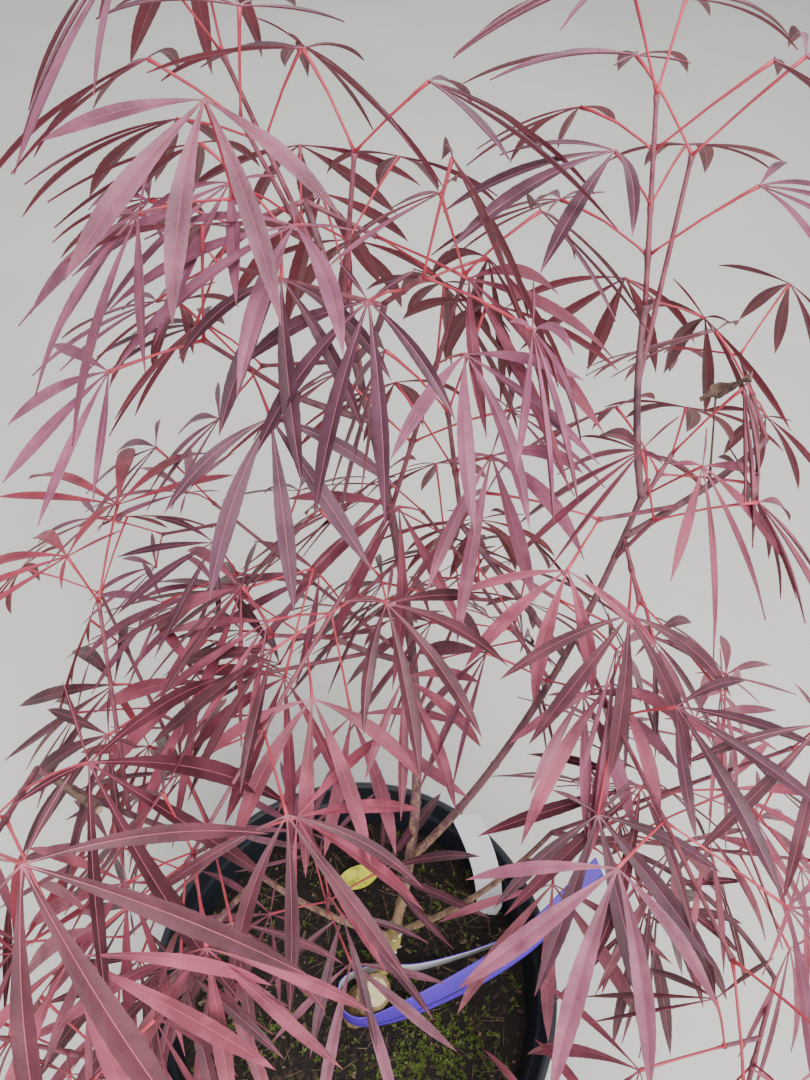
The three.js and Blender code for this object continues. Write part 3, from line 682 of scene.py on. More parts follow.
def strap_centre(plan, turn, length, sag, bow=0.0, arch=0.0):
    """Points down the middle of a strap: it arches out from the hub and its point bends down."""
    way = plan["axis"] * cos(turn) + plan["across"] * sin(turn)
    lower = unit(way - UP * TIP_BEND * tan(2 * sag))
    tip = plan["joint"] + way * length * STRAP_WIDEST + lower * length * (1 - STRAP_WIDEST)
    beside = unit(np.cross(plan["normal"], way))
    t = STATIONS[:, None]
    crest = plan["joint"] + way * length * 0.5 + UP * length * arch
    centre = plan["joint"] * (1 - t) ** 2 + crest * 2 * t * (1 - t) + tip * t ** 2
    return centre + beside * length * bow * (t ** 2 - BOW_RETURN * t), beside


def add_strips(shape, strips):
    """Adds lengthwise strips of quads, each of rows of points, with its own material."""
    for rows, kind in strips:
        shape.add(np.concatenate(rows), flipped(grid_faces(len(rows), len(rows[0]))), kind)


def add_strap(shape, plan, strap, fold, tint, breadth, draw):
    """A thin blade folded along its rib: two upper halves, the rib, and the lower side."""
    turn, length, sag = strap
    normal = plan["normal"]
    bow = around(draw, STRAP_BOW) - OUTER_BOW * sin(turn)
    arch = STRAP_ARCH * draw()
    twist = radians(around(draw, STRAP_TWIST)) * STATIONS
    centre, beside = strap_centre(plan, turn, length, sag, bow, arch)
    tangent = np.gradient(centre, axis=0)
    tangent /= np.linalg.norm(tangent, axis=1, keepdims=True)
    half = OUTLINE * length * breadth / 2 * (1 + around(draw, WIDTH_RANGE))
    out = beside * np.cos(twist)[:, None] + normal * np.sin(twist)[:, None]
    out -= tangent * np.sum(out * tangent, axis=1, keepdims=True)
    out /= np.linalg.norm(out, axis=1, keepdims=True)
    up = np.cross(tangent, out)
    up *= np.sign(up @ normal)[:, None]
    rib = np.maximum(half * RIB_SHARE, RIB_LEAST) + half * np.clip(RIB_FOOT - STATIONS, 0, 1) * RIB_FOOT_SLOPE
    rib = np.minimum(rib, half * RIB_MOST_SHARE)

    def row(side, share, teeth, drop=0.0):
        wide = rib + (half * teeth - rib) * share
        rise = fold * wide * (1 - FOLD_EASE * share) - drop
        return centre + out * (side * wide)[:, None] + up * rise[:, None]

    def rib_row(side, drop=0.0):
        return centre + out * (side * rib)[:, None] + up * (fold * rib - drop)[:, None]

    strips = []
    for side, teeth in ((1, TEETH), (-1, np.roll(TEETH, 1))):
        strips.append(([row(side, s, teeth) for s in BLADE_ROWS][::side], tint))
        lower = [row(side, s, teeth, BLADE_THICKNESS * (1 - s)) for s in (0, 1)]
        strips.append((lower[::-side], LOWER))
    slope, crest = RIB_CREST
    ridge = centre + up * (fold * rib * slope + crest)[:, None]
    strips.append(([rib_row(-1), ridge, rib_row(1)], RIB))
    depth, swell = UNDER_RIB
    under = centre - up * (depth + swell * half)[:, None]
    strips.append(([rib_row(1, BLADE_THICKNESS), under, rib_row(-1, BLADE_THICKNESS)],
                   RIB if length > PALE_RIB_LENGTH else LOWER))
    add_strips(shape, strips)


def add_leaf(shape, stalks, plan, breadth):
    """A leaf of narrow straps on a thin stalk."""
    draw = draws(plan["seed"] + BLADE_SEED)
    fold = vary(draw, FOLD_VARIES)
    lot = draw()
    # A random draw gives each leaf's upper side the plain tone, the deep tone (partly painted shade) or the
    # bright tone (partly painted light)
    tint = DEEP_AND_SHADED if lot < DEEP_AND_SHADED_SHARE else BRIGHT_AND_LIT if lot > 1 - BRIGHT_AND_LIT_SHARE else UPPER
    for strap in plan["straps"]:
        add_strap(shape, plan, strap, fold, tint, breadth, draw)
    root, joint = plan["root"], plan["joint"]
    crest = (root + joint) / 2 + UP * vary(draw, STALK_ARCH)
    stalk = Bend(root, crest, joint - plan["normal"] * STALK_UNDER)
    least, more = STALK_TAPER
    radii = [STALK_RADIUS * (STALK_END if t in (0, 1) else least + more * t ** 3) for t in STALK_STATIONS]
    tube(stalks, [stalk.at(t) for t in STALK_STATIONS], radii, STALK_SIDES)


def pair_side(along, phase):
    """The way that one leaf of a pair stands out from its shoot."""
    flat = unit(np.cross(UP, along))
    high = np.cross(along, flat)
    turn = radians(phase)
    return flat * cos(turn) + high * sin(turn)


def shoot_leaves(row, curves):
    """The shoot's stem, and the leaves that stand on it in pairs."""
    _, limb, at, bearing, rise, length, pairs, leaf, droop, phase, seed, _ = row
    start = curves[limb].at(at)
    along = heading(bearing, rise)
    tip = start + along * length
    first, per_shoot, per_leaf = LEAF_SEED
    leaves = []
    for pair in range(pairs):
        t = (pair + 1) / pairs
        root = start + (tip - start) * t
        side = pair_side(along, phase + PAIR_TURN * pair)
        spread = STALK_SPREAD if t < 1 else END_SPREAD
        for sign in (1, -1):
            leaf_seed = first + seed * per_shoot + len(leaves) * per_leaf
            leaves.append(leaf_plan(root, along, side * sign, leaf_seed, leaf, droop, spread))
    return leaves, (start, tip, SHOOT_RADII, pairs)


def twig_leaves(row, start, tip):
    """The shoot's side twigs, and the two smaller leaves that each carries."""
    _, _, _, bearing, rise, _, pairs, leaf, droop, phase, seed, _ = row
    along = heading(bearing, rise)
    draw = draws(seed * TWIG_SEED[1] + TWIG_SEED[0])
    first, per_shoot, per_pair, per_side = TWIG_LEAF_SEED
    leaves, twigs = [], []
    for pair in range(pairs):
        t = (pair + vary(draw, TWIG_PLACE)) / pairs
        root = start + (tip - start) * t
        side = pair_side(along, phase + PAIR_TURN * pair + TWIG_PHASE)
        sign = 1 if draw() > 0.5 else -1
        way = unit(along * TWIG_AHEAD + side * sign + UP * TWIG_RISE)
        end = root + way * (TWIG_LENGTH * vary(draw, TWIG_VARIES))
        twigs.append((root, end, TWIG_RADII, 1))
        for k, turn in enumerate((0, 180)):
            other = pair_side(way, phase + turn + TWIG_PAIR_TURN * draw())
            leaf_seed = first + seed * per_shoot + pair * per_pair + k * per_side
            leaves.append(leaf_plan(end, way, other, leaf_seed, leaf * TWIG_LEAF_SHARE,
                                    droop + TWIG_LEAF_DROOP, TWIG_LEAF_SPREAD, TWIG_STALK_SHARE))
    return leaves, twigs


def inside(plan, low, high):
    """Whether the leaf keeps to the crown's space."""
    tips = [plan["joint"]]
    for turn, length, sag in plan["straps"]:
        tips.append(strap_centre(plan, turn, length, sag)[0][-1])
    tips = np.array(tips)
    return bool((tips > low).all() and (tips < high).all())


def make_foliage(curves):
    """Blades by colour, the stalks of all leaves, and the stems of all shoots and side twigs."""
    low = np.array(cad_box[0]) / MM - CROWN_MARGIN
    high = np.array(cad_box[1]) / MM + CROWN_MARGIN
    shapes = {colour: Shape() for colour in LEAF_COLOURS}
    stalks, twigs = Shape(), Shape()
    for row in SHOOTS + FINER_SHOOTS:
        name, colour = row[0], row[-1]
        leaves, stem = shoot_leaves(row, curves)
        stems = [stem]
        if name in TWIGGY:
            extras, side_twigs = twig_leaves(row, *stem[:2])
            leaves += [plan for plan in extras if inside(plan, low, high)]
            stems += side_twigs
        breadth = LOW_STRAP_WIDTH if name in NARROW else STRAP_WIDTH
        for plan in leaves:
            add_leaf(shapes[colour], stalks, plan, breadth)
        for start, end, radii, joints in stems:
            add_twig(twigs, start, end, radii, joints)
    return shapes, stalks, twigs


def add_twig(shape, start, end, radii, joints):
    """A slender shoot, swollen at each joint where leaves stand."""
    swelling, swollen, step, least_steps, sides = 0.55, 1.6, 2.5, 8, 8
    length = np.linalg.norm(end - start)
    steps = max(least_steps, int(length / step))
    centres, sizes = [], []
    for i in range(steps + 1):
        t = i / steps
        near = min(abs(t - (k + 1) / joints) * length for k in range(joints))
        centres.append(mix((start, end), t))
        sizes.append(mix(radii, t) * (1 + swelling * exp(-(near / swollen) ** 2)))
    tube(shape, centres, sizes, sides)


# Limbs and trunk


def make_limb_curves():
    """The middle line of the trunk's scion and of each limb, by name."""
    curves = {"trunk": bent(SCION_START, FORK, SCION_BOW, BOW_BEARING)}
    for name, parent, at, tip, bow, toward, _ in LIMBS:
        curves[name] = bent(curves[parent].at(at), tip, bow, toward)
    return curves


def add_limb(shape, curve, radii, seed):
    """A limb with fine ridges, a swollen ring at each old joint, and woody bark on its low part."""
    length = curve.length()
    steps = max(LIMB_LEAST_STEPS, int(length / LIMB_STEP))
    draw = draws(seed * LIMB_SEED[1] + LIMB_SEED[0])
    ridges = [draw() for _ in range(LIMB_SIDES)]
    lumps = [[draw() for _ in range(LIMB_SIDES)] for _ in range(steps + 1)]
    knots = [(i + 0.5 + around(draw, KNOT_UNEVEN)) * KNOT_SPACING for i in range(int(length / KNOT_SPACING))]
    centres, sizes, knot_gaps = [], [], []
    for i in range(steps + 1):
        t = i / steps
        gap = min((abs(t * length - knot) for knot in knots), default=KNOT_SPACING)
        swell = KNOT_SWELL * exp(-(gap / KNOT_LENGTH) ** 2)
        knot_gaps.append(gap)
        centres.append(curve.at(t))
        sizes.append(mix(radii, t) * (1 + swell))

    def relief(i, j):
        ridge = LIMB_RIDGE * (ridges[j] - 0.5)
        lump = LIMB_ROUGHNESS * (lumps[i][j] - 0.5)
        groove = -GROOVE_DEPTH if GROOVE_BAND[0] < knot_gaps[i] < GROOVE_BAND[1] else 0
        return ridge + lump + groove

    kinds = []
    for i in range(steps):
        for j in range(LIMB_SIDES):
            woody = centres[i][2] < WOODY_HEIGHT + WOODY_FADE * (lumps[i][j] - 0.5)
            kinds.append(WOODY_BARK if woody else YOUNG_BARK)
    tube(shape, centres, sizes, LIMB_SIDES, kinds + [kinds[0], kinds[-1]], relief)


def add_stock(shape, draw):
    """The rootstock: ridged, with toes at its flared foot, and flat where the slanting cut goes through."""
    foot = np.array((*TRUNK_FOOT, COMPOST_TOP - STOCK_SINK))
    top = np.array(STOCK_TOP, float)
    height = top[2] - foot[2]
    facing = unit(np.array(CUT_FACE))
    ridges = [draw() for _ in range(STOCK_SIDES)]
    points = []
    for i in range(STOCK_STEPS + 1):
        t = i / STOCK_STEPS
        centre = foot + (top - foot) * t
        size = STOCK_RADIUS + (FLARE_RADIUS - STOCK_RADIUS) * exp(-t * height / FLARE_FADE)
        for j in range(STOCK_SIDES):
            a = 2 * pi * j / STOCK_SIDES
            toes = TOE_HEIGHT * exp(-t * TOE_FADE) * cos(TOE_COUNT * a + 1)
            rough = STOCK_RIDGE * (ridges[j] - 0.5) + around(draw, STOCK_ROUGHNESS)
            point = centre + np.array([cos(a), sin(a), 0]) * (size * (1 + toes + rough))
            over = np.dot(point - CUT_MIDDLE, facing)
            if over > 0:
                point[2] -= over / facing[2]
            points.append(point)
    shape.add(points, ring_faces(STOCK_STEPS + 1, STOCK_SIDES), STOCK_BARK)


def add_cut(shape):
    """The stock's sawn face: a pale disc inside a rim of bark."""
    facing = unit(np.array(CUT_FACE))
    across = unit(np.cross(UP, facing))
    other = np.cross(facing, across)
    stretch = 1 / facing[2]
    points, marks = [], []
    for share, lift in CUT_RINGS:
        reach = STOCK_RADIUS * share
        for c, s in ring(STOCK_SIDES):
            level = CUT_MIDDLE + across * c * reach + other * s * reach * stretch * CUT_STRETCH
            points.append(level + facing * lift)
    for i in range(len(CUT_RINGS) - 1):
        marks += [STOCK_BARK if i < CUT_BARK_RINGS else SAWN_WOOD] * STOCK_SIDES
    shape.add(points, ring_faces(len(CUT_RINGS), STOCK_SIDES), marks)


def node_swell(t):
    """How far the scion stands out at its swollen joint."""
    return NODE_SWELL * exp(-(((t - NODE_PLACE) / NODE_LENGTH) ** 2))


def add_scion(shape, curve, draw):
    """The scion, with pale flakes of bark that peel off round its joints."""
    centres = [curve.at(i / SCION_STEPS) for i in range(SCION_STEPS + 1)]
    sizes = [mix(SCION_RADII, i / SCION_STEPS) + node_swell(i / SCION_STEPS) for i in range(SCION_STEPS + 1)]
    lumps = [[draw() for _ in range(SCION_SIDES)] for _ in range(SCION_STEPS + 1)]

    def relief(i, j):
        return SCION_ROUGHNESS * (lumps[i][j] - 0.5)

    tube(shape, centres, sizes, SCION_SIDES, SCION_BARK, relief)
    for place, count in FLAKES:
        for _ in range(count):
            t = place + around(draw, FLAKE_SPREAD)
            turn = 2 * pi * draw()
            size = SCION_RADII[0] + node_swell(t)
            off = np.array([cos(turn), sin(turn), FLAKE_RISE]) * (size + FLAKE_LIFT)
            add_chip(shape, curve.at(t) + off, (*FLAKE_SIZE, vary(draw, FLAKE_THICKNESS)), draw, PALE_FLAKE)


def make_trunk(curves):
    shape = Shape()
    draw = draws(TRUNK_SEED)
    add_stock(shape, draw)
    add_cut(shape)
    add_scion(shape, curves["trunk"], draw)
    return shape


# Dry parts

# A dead leaf that has dried on its stalk: where it stands, and its blade's length, width and lie
DEAD_LEAF_LIMB = ("far_right_bough", 0.55)
DEAD_LEAF_PLACE = (117, 99, 521)
DEAD_LEAF_SIZE = (17, 7)
DEAD_LEAF_ALONG = (0.8, 0.1, 0.45)
# Its stalk: share of the way along, and radius
DRY_STALK = ((0, 0.7), (0.3, 0.4), (0.7, 0.35), (1, 0.4))
DRY_STALK_SIDES = 6

# A pruned side twig: its limb, its cut end and its thickness
STUB_LIMB = ("left_front_bough", 0.94)
STUB_END = (-74, -22, 445)
STUB_RADII = (1.25, 1.35)
STUB_FOOT = (0.1, 1.25)
STUB_STATIONS = (0, 0.12, 0.3, 0.6, 0.9, 1)
STUB_SIDES = 12
# Torn end: distance past the stub's end, and radius
TORN_END = ((-0.4, 1.4), (0.1, 1.25), (0.7, 0.5))
STUB_BARK, TORN_WOOD = 0, 1


def make_dead_leaf(curves):
    """A brown, crumpled and curled blade on a dry stalk."""
    rows, across = 18, 5
    near_end, far_end, bluntness, ragged = 0.06, 0.97, 0.6, (0.75, 0.5)
    foot, closed = 0.3, 0.6
    curl, wave, waves, slant, crease = 2.6, 1.1, 9, 2, 0.7
    shape = Shape()
    draw = draws(DEAD_LEAF_SEED)
    limb, at = DEAD_LEAF_LIMB
    root, place = curves[limb].at(at), np.array(DEAD_LEAF_PLACE, float)
    tube(shape, [mix((root, place), t) for t, _ in DRY_STALK], [r for _, r in DRY_STALK], DRY_STALK_SIDES)
    long, wide = DEAD_LEAF_SIZE
    along = unit(np.array(DEAD_LEAF_ALONG))
    beside = unit(np.cross(along, UP))
    lift = np.cross(beside, along)
    points = []
    for i in range(rows + 1):
        t = i / rows
        half = wide / 2 * (sin(pi * min(far_end, t + near_end)) ** bluntness) * vary(draw, ragged)
        for j in range(across):
            s = 2 * j / (across - 1) - 1
            up = curl * s * s + wave * sin(waves * t + slant * s) + around(draw, crease)
            points.append(place + along * (t - foot) * long + beside * half * s * closed + lift * up)
    shape.add(points, grid_faces(rows + 1, across))
    return shape


def make_stub(curves):
    """A pruned side twig, swollen at its foot, with a pale torn end."""
    shape = Shape()
    limb, at = STUB_LIMB
    root, end = curves[limb].at(at), np.array(STUB_END, float)
    foot, swell = STUB_FOOT
    radii = [STUB_RADII[0] * (swell if t < foot else 1) + (STUB_RADII[1] - STUB_RADII[0]) * t
             for t in STUB_STATIONS]
    tube(shape, [mix((root, end), t) for t in STUB_STATIONS], radii, STUB_SIDES, STUB_BARK)
    along = unit(end - root)
    tube(shape, [end + along * past for past, _ in TORN_END], [r for _, r in TORN_END], STUB_SIDES, TORN_WOOD)
    return shape


# Pot and compost


def inner_radius(height):
    """The pot's inner radius at a height, as if its wall ran on straight through the rim band."""
    top = POT_HEIGHT - RIM_BAND
    return BASE_RADIUS + (RIM_RADIUS - 2 * RIM_STEP - BASE_RADIUS) * height / top - POT_WALL


def make_pot():
    """The pot in one closed outline, from the middle of its underside round the lip to its floor."""
    step = POT_HEIGHT - RIM_BAND
    step_radius = RIM_RADIUS - RIM_STEP
    lip = RIM_RADIUS - LIP_WIDTH
    outline = [(AXIS_GAP, 0)]
    outline += [(BASE_RADIUS + out, up) for out, up in FOOT_OUTLINE]
    outline += [(inner_radius(z) + POT_WALL, z) for z in (*WALL_HEIGHTS, step)]
    outline += [(step_radius + out, step + up) for out, up in STEP_OUTLINE]
    outline += [(RIM_RADIUS + out, POT_HEIGHT + up) for out, up in RIM_OUTLINE]
    outline += [(lip + out, POT_HEIGHT + up) for out, up in LIP_OUTLINE]
    outline += [(inner_radius(step + at) + out, step + up) for at, out, up in BAND_OUTLINE]
    outline += [(inner_radius(z) - INNER_SHRINK, z) for z in INNER_HEIGHTS]
    outline += [(AXIS_GAP, FLOOR_THICKNESS)]
    points = [(r * c, r * s, z) for r, z in outline for c, s in ring(POT_SIDES)]
    return Shape().add(points, ring_faces(len(outline), POT_SIDES))


def surface_height(x, y):
    """How the compost rises and falls."""
    shoulder, width, ring_rise, fall, more_fall, wave_radius = 66, 34, 0.5, -0.3, -0.7, 40
    r = hypot(x, y)
    share = ring_rise if r > FLAT_RADIUS else 0
    if r >= shoulder:
        share = fall + more_fall * ((r - shoulder) / width)
    wave = sum(high * sin(x / a + b) * sin(y / c + d) for high, a, b, c, d in COMPOST_WAVES)
    return COMPOST_TOP + COMPOST_UNEVEN * share + wave * min(1, r / wave_radius)


def make_compost():
    rings, sides, grain, wall_gap = 46, 120, 0.9, 0.3
    draw = draws(COMPOST_SEED)
    points = [(0, 0, COMPOST_TOP)]
    for i in range(1, rings + 1):
        r = inner_radius(COMPOST_TOP) * i / rings - wall_gap * (i == rings)
        for c, s in ring(sides):
            x, y = r * c, r * s
            points.append((x, y, surface_height(x, y) + around(draw, grain)))
    faces = [(0, 1 + j, 1 + (j + 1) % sides) for j in range(sides)]
    faces += [[1 + i for i in face] for face in flipped(ring_faces(rings, sides))]
    return Shape().add(points, faces)


CHIP_FACES = ((0, 1, 3, 2), (4, 6, 7, 5), (0, 4, 5, 1), (2, 3, 7, 6), (0, 2, 6, 4), (1, 5, 7, 3))


def add_chip(shape, centre, size, draw, kind):
    """An irregular eight-cornered crumb or chip, turned at random."""
    whole_turn, tilt, uneven = 6.28, 1.2, (0.7, 0.6)
    turn = Matrix.Rotation(draw() * whole_turn, 3, "Z") @ Matrix.Rotation(around(draw, tilt), 3, "X")
    long, wide, thick = size
    corners = []
    for dx, dy, dz in product((-1, 1), repeat=3):
        corner = Vector((dx * long * vary(draw, uneven), dy * wide * vary(draw, uneven), dz * thick))
        corners.append(np.array(centre) + np.array(turn @ corner) / 2)
    shape.add(corners, CHIP_FACES, kind)


CRUMB_COUNT = 4200
CRUMB_REACH = 0.985
TRUNK_CLEARANCE = 13
ROOT_COUNT = 240
ROOT_REACH = 0.95
# A draw times this is the crumb's material, so most are dark or brown and few are tan
CRUMB_KINDS = 2.12
TAN = 2


def scattered(draw, reach):
    """A point on the compost, within a share of its radius."""
    r = inner_radius(COMPOST_TOP) * sqrt(draw()) * reach
    a = draw() * 2 * pi
    return r * cos(a), r * sin(a)


def make_crumbs():
    """Loose crumbs of bark and compost, and fine pale roots and fibres."""
    length, width, thickness, lift = (1.2, 3.4), (0.3, 0.4), (0.6, 0.8), 0.3
    root_length, root_thickness, root_lift = (5, 10), 0.3, 0.9
    shape = Shape()
    draw = draws(CRUMB_SEED)
    for _ in range(CRUMB_COUNT):
        x, y = scattered(draw, CRUMB_REACH)
        if hypot(x - TRUNK_FOOT[0], y - TRUNK_FOOT[1]) < TRUNK_CLEARANCE:
            continue
        kind = min(int(draw() * CRUMB_KINDS), TAN)
        long = length[0] + length[1] * draw() ** 3
        size = (long, long * vary(draw, width), vary(draw, thickness))
        add_chip(shape, (x, y, surface_height(x, y) + lift), size, draw, kind)
    for _ in range(ROOT_COUNT):
        x, y = scattered(draw, ROOT_REACH)
        size = (vary(draw, root_length), root_thickness, root_thickness)
        add_chip(shape, (x, y, surface_height(x, y) + root_lift), size, draw, TAN)
    return shape


# Moss grows in patches, thickest round one place at the front, and least at the back
MOSS_TUFTS = 800
MOSS_REACH = 0.97
MOSS_CENTRE = (34, -42)
MOSS_SPREAD = 900
# Its patches: length and shift along X and along Y
MOSS_PATCHES = (17, 1.3, 13, 0.4)
TUFT_LEAVES = 7


def moss_chance(x, y):
    """The chance of a tuft: high near that place, and least behind and at the left."""
    centre, front, right, back = 0.8, 0.16, 0.1, 0.04
    front_line, right_line = -15, 10
    a, b, c, d = MOSS_PATCHES
    thick = 0.5 + 0.5 * sin(x / a + b) * sin(y / c + d)
    near = exp(-((x - MOSS_CENTRE[0]) ** 2 + (y - MOSS_CENTRE[1]) ** 2) / MOSS_SPREAD)
    elsewhere = front if y < front_line else right if x > right_line else back
    return centre * near * thick + thick * elsewhere


def make_moss():
    """Small tufts of pointed green leaves."""
    rise, width, length, shoulder, greens = (25, 50), (0.25, 0.2), (1.6, 2.6), 1.3, 2
    shape = Shape()
    draw = draws(MOSS_SEED)
    placed_tufts = 0
    while placed_tufts < MOSS_TUFTS:
        x, y = scattered(draw, MOSS_REACH)
        if draw() > moss_chance(x, y):
            continue
        placed_tufts += 1
        base = np.array([x, y, surface_height(x, y)])
        for _ in range(TUFT_LEAVES):
            lean = heading(draw() * 360, vary(draw, rise))
            side = unit(np.cross(lean, UP)) * vary(draw, width)
            reach = vary(draw, length)
            middle = base + lean * reach * 0.5
            shape.add([base - side, base + side, middle + side * shoulder, base + lean * reach,
                       middle - side * shoulder], [(0, 1, 2, 3, 4)], int(draw() * greens))
    return shape


FALLEN_PLACE = (-3.7, 61.3, COMPOST_TOP + 5.5)
FALLEN_SIZE = (28, 6.8)
FALLEN_STEPS = 14


def make_fallen_leaf():
    """A yellow leaflet, folded along its rib, on the compost."""
    turn, tilt, roundness, least = 20, 12, 0.7, 0.1
    lift, wave, waves, low, slope = 1.2, 0.8, 5, 0.6, 2.4
    long, widest = FALLEN_SIZE
    place = Vector(FALLEN_PLACE)
    turned_to = Matrix.Rotation(radians(turn), 3, "Z") @ Matrix.Rotation(radians(tilt), 3, "X")
    points = []
    for i in range(FALLEN_STEPS + 1):
        t = i / FALLEN_STEPS
        half = widest * (4 * t * (1 - t)) ** roundness + least
        for y, z in ((-half, lift + wave * sin(waves * t)), (0, 0), (half, slope * t + low)):
            points.append(np.array(place + turned_to @ Vector((long * (t - 0.5), y, z))))
    return Shape().add(points, grid_faces(FALLEN_STEPS + 1, 3))


# Tag and label

TAG_WIDTH = 15
TAG_THICKNESS = 0.8
TAG_STEPS = 150
# Its middle line from one end round the trunk's foot to the other, and how far its top leans back
TAG_STATIONS = (
    ((88, 23, 183), 5), ((62, 15, 176), 5), ((34, 8, 172), 0), ((10, 7, 170), 0),
    ((-8, -1, 168), 0), ((-7, -15, 168), 0), ((5.5, -20.3, 168), 5), ((30, -13, 170), 25),
    ((66, 3, 178), 40), ((92, 17, 190.8), 45), ((109, 30, 198.6), 45), ((123, 42, 208), 45),
    ((137, 53, 219), 45),
)
# Rows across it as shares of its width, thinner at both edges; the stripe follows one row
TAG_ROWS = (-0.5, -0.46, -0.3, -0.22, 0.3, 0.46, 0.5)
TAG_EDGE = 0.3
STRIPE_ROW = 2
VIOLET, STRIPE, WHITE = 0, 1, 2

LABEL_SIZE = (16, 1.2)
LABEL_FOOT = (80.7, 43.9, 146)
LABEL_TOP = (57, 70, 243)
LABEL_BOW = 5
# Its pointed foot: share of half the width, and height; the straight sides start above it
LABEL_POINT = ((0.2, 0), (0.96, 14))
SIDE_START = 20
# Rings from face to face: side, inset from the edge, and share of the thickness
LABEL_RINGS = ((1, 0.35, 0.5), (1, 0, 0.3), (-1, 0, 0.3), (-1, 0.35, 0.5))


def make_tag():
    """A ribbon: violet on its outer face and edges, with one darker stripe, and white on its inner face."""
    path, places = smooth_line([point for point, _ in TAG_STATIONS], TAG_STEPS)
    leans = [lean for _, lean in TAG_STATIONS]
    tangents = np.gradient(path, axis=0)
    section = [(row, 1) for row in TAG_ROWS] + [(row, -1) for row in TAG_ROWS[::-1]]
    points = []
    for centre, tangent, place in zip(path, tangents, places):
        along = unit(tangent)
        back = unit(np.cross(UP, along) * (1, 1, 0))
        lean = radians(np.interp(place, range(len(leans)), leans))
        wide = UP * cos(lean) + back * sin(lean)
        thin = np.cross(along, wide)
        for row, side in section:
            depth = TAG_EDGE if abs(row) == 0.5 else 0.5
            points.append(centre + wide * row * TAG_WIDTH + thin * side * depth * TAG_THICKNESS)
    n = len(section)
    last = (len(path) - 1) * n
    marks = [VIOLET] * len(TAG_ROWS) + [WHITE] * (len(TAG_ROWS) - 1) + [VIOLET]
    marks[STRIPE_ROW] = STRIPE
    faces = flipped(ring_faces(len(path), n))
    faces += [tuple(range(n)), tuple(range(last + n - 1, last - 1, -1))]
    return Shape().add(points, faces, marks * (len(path) - 1) + [VIOLET, VIOLET])


def make_label():
    """A blank stick label with a pointed foot, rounded at its head."""
    corner, corner_steps, side_steps = 5, 6, 12
    foot, top = np.array(LABEL_FOOT), np.array(LABEL_TOP, float)
    along = unit(top - foot)
    turn = Vector((0, 0, 1)).rotation_difference(Vector(along))
    wide = np.array(turn @ Vector((1, 0, 0)))
    thin = np.array(turn @ Vector((0, 1, 0)))
    length = np.linalg.norm(top - foot)
    half = LABEL_SIZE[0] / 2
    straight = length - SIDE_START - corner
    outline = [(half * share, height) for share, height in LABEL_POINT]
    outline += [(half, SIDE_START + straight * i / side_steps) for i in range(side_steps + 1)]
    for i in range(1, corner_steps + 1):
        a = pi / 2 * i / corner_steps
        outline.append((half - corner + corner * cos(a), length - corner + corner * sin(a)))
    mirrored = [(-x, z) for x, z in outline]
    outline = [mirrored[0], *outline, *mirrored[:0:-1]]
    n = len(outline)
    points = []
    for side, inset, depth in LABEL_RINGS:
        for x, z in outline:
            across = x * (1 - inset / half) + LABEL_BOW * sin(pi * z / length)
            points.append(foot + wide * across + along * z + thin * side * depth * LABEL_SIZE[1])
    last = (len(LABEL_RINGS) - 1) * n
    faces = [tuple(range(n)), tuple(range(last + n - 1, last - 1, -1))]
    return Shape().add(points, faces + flipped(ring_faces(len(LABEL_RINGS), n)))


# The scene


def add_floor():
    mesh = bpy.data.meshes.new("floor")
    r = FLOOR_REACH
    mesh.from_pydata([(-r, -r, 0), (r, -r, 0), (r, r, 0), (-r, r, 0)], [], [(0, 1, 2, 3)])
    obj = placed("floor", mesh)
    mesh.materials.append(material("floor_pale", *LOOKS["floor_pale"]))


def add_camera():
    camera = bpy.data.cameras.new("camera")
    camera.lens = LENS
    camera.sensor_fit = "VERTICAL"
    camera.sensor_height = SENSOR
    camera.sensor_width = SENSOR
    camera.clip_start = NEAR_CLIP
    obj = placed("camera", camera)
    p, r = radians(PITCH), radians(ROLL)
    forward = np.array([0, cos(p), -sin(p)])
    level = np.array([1.0, 0, 0])
    under = np.cross(forward, level)
    right = cos(r) * level + sin(r) * under
    down = -sin(r) * level + cos(r) * under
    turn = Matrix((right, -down, -forward)).transposed()
    obj.matrix_world = Matrix.Translation(Vector(EYE) * MM) @ turn.to_4x4()
    bpy.context.scene.camera = obj


def add_light(name, place, target, size, power, colour):
    light = bpy.data.lights.new(name, "AREA")
    light.shape = "DISK"
    light.size = size
    light.energy = power
    light.color = colour
    obj = placed(name, light)
    obj.location = place
    obj.rotation_euler = (Vector(target) - Vector(place)).to_track_quat("-Z", "Y").to_euler()


def add_sky():
    world = bpy.data.worlds.new("world")
    world.use_nodes = True
    back = world.node_tree.nodes["Background"]
    back.inputs["Color"].default_value = SKY_COLOUR
    back.inputs["Strength"].default_value = SKY_STRENGTH
    bpy.context.scene.world = world


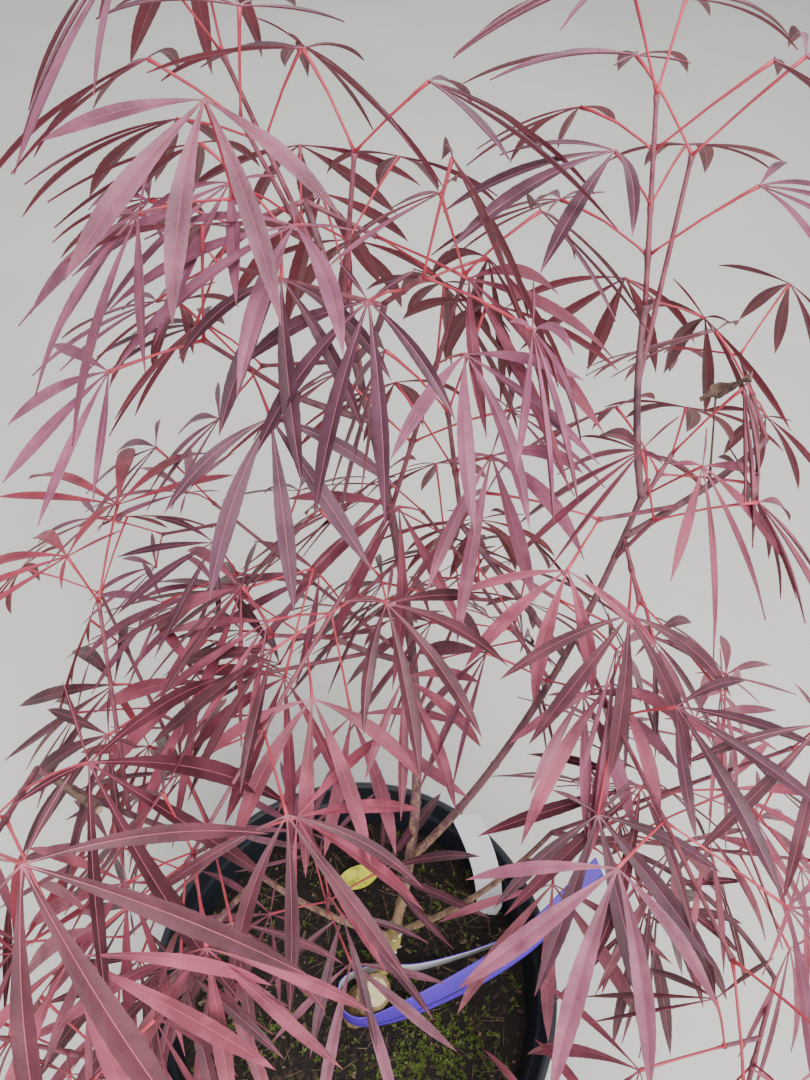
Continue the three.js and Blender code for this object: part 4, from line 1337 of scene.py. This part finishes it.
def leaf_looks(colour, upper, rib, lower):
    """Makes the materials of one colour of leaf, and gives their names in the order of their numbers."""
    # The deep copy of the upper side is partly painted shade, and the bright copy partly painted light
    deep_and_shaded, bright_and_lit = ([[c * tone for c in shade] for shade in upper] for tone in (DEEP_AND_SHADED_TONE, BRIGHT_AND_LIT_TONE))
    made = (
        material(f"leaf_{colour}_upper", *UPPER_LOOK, upper, **UPPER_SHEEN),
        material(f"leaf_{colour}_rib", *RIB_LOOK, rib),
        material(f"leaf_{colour}_lower", *LOWER_LOOK, lower),
        material(f"leaf_{colour}_deep", *UPPER_LOOK, deep_and_shaded, **UPPER_SHEEN),
        material(f"leaf_{colour}_bright", *UPPER_LOOK, bright_and_lit, **UPPER_SHEEN),
    )
    return [m.name for m in made]


def dress_plant(curves):
    shapes, stalks, twigs = make_foliage(curves)
    for colour, tones in LEAF_COLOURS.items():
        nodes = [row[0] + "_leaves" for row in SHOOTS if row[-1] == colour]
        shapes[colour].piece(f"leaves_{colour}", leaf_looks(colour, *tones), "leaves", nodes)
    stalks.piece("stalks", ["leaf_stalks"], "leaves")
    twigs.piece("shoots", ["young_shoots"], "bark")
    limbs = Shape()
    for i, (name, _, _, _, _, _, radii) in enumerate(LIMBS):
        add_limb(limbs, curves[name], radii, i + 1)
    limbs.piece("limbs", ["limb_bark", "limb_wood"], "bark", [row[0] for row in LIMBS])
    barks = ["stock_bark", "sawn_wood", "scion_bark", "bark_flakes"]
    make_trunk(curves).piece("stump", barks, "bark", ["trunk"])


def dress_pot():
    make_pot().piece("nursery_pot", ["pot_plastic"], "pot", ["pot"])
    make_compost().piece("compost_bed", ["compost_dark"], "compost", ["compost"])
    make_crumbs().piece("compost_bits", ["chip_dark", "chip_brown", "chip_tan"], "compost", smooth=False)
    make_moss().piece("moss", ["moss_green", "moss_dull"], "compost")


def dress_small_parts(curves):
    make_fallen_leaf().piece("fallen_leaflet", ["fallen_yellow"], "leaves")
    make_dead_leaf(curves).piece("dried_leaf", ["dead_leaf"], "leaves")
    make_stub(curves).piece("pruned_stub", ["dead_leaf", "torn_end"], "bark")
    make_tag().piece("loop_tag", ["tag_violet", "tag_stripe", "tag_white"], "tag", ["tag"])
    make_label().piece("stick_label", ["label_white"], "label", ["label"], smooth=False)


def main():
    add_camera()
    for light in LIGHTS:
        add_light(*light)
    add_sky()
    add_floor()
    curves = make_limb_curves()
    dress_plant(curves)
    dress_pot()
    dress_small_parts(curves)


main()
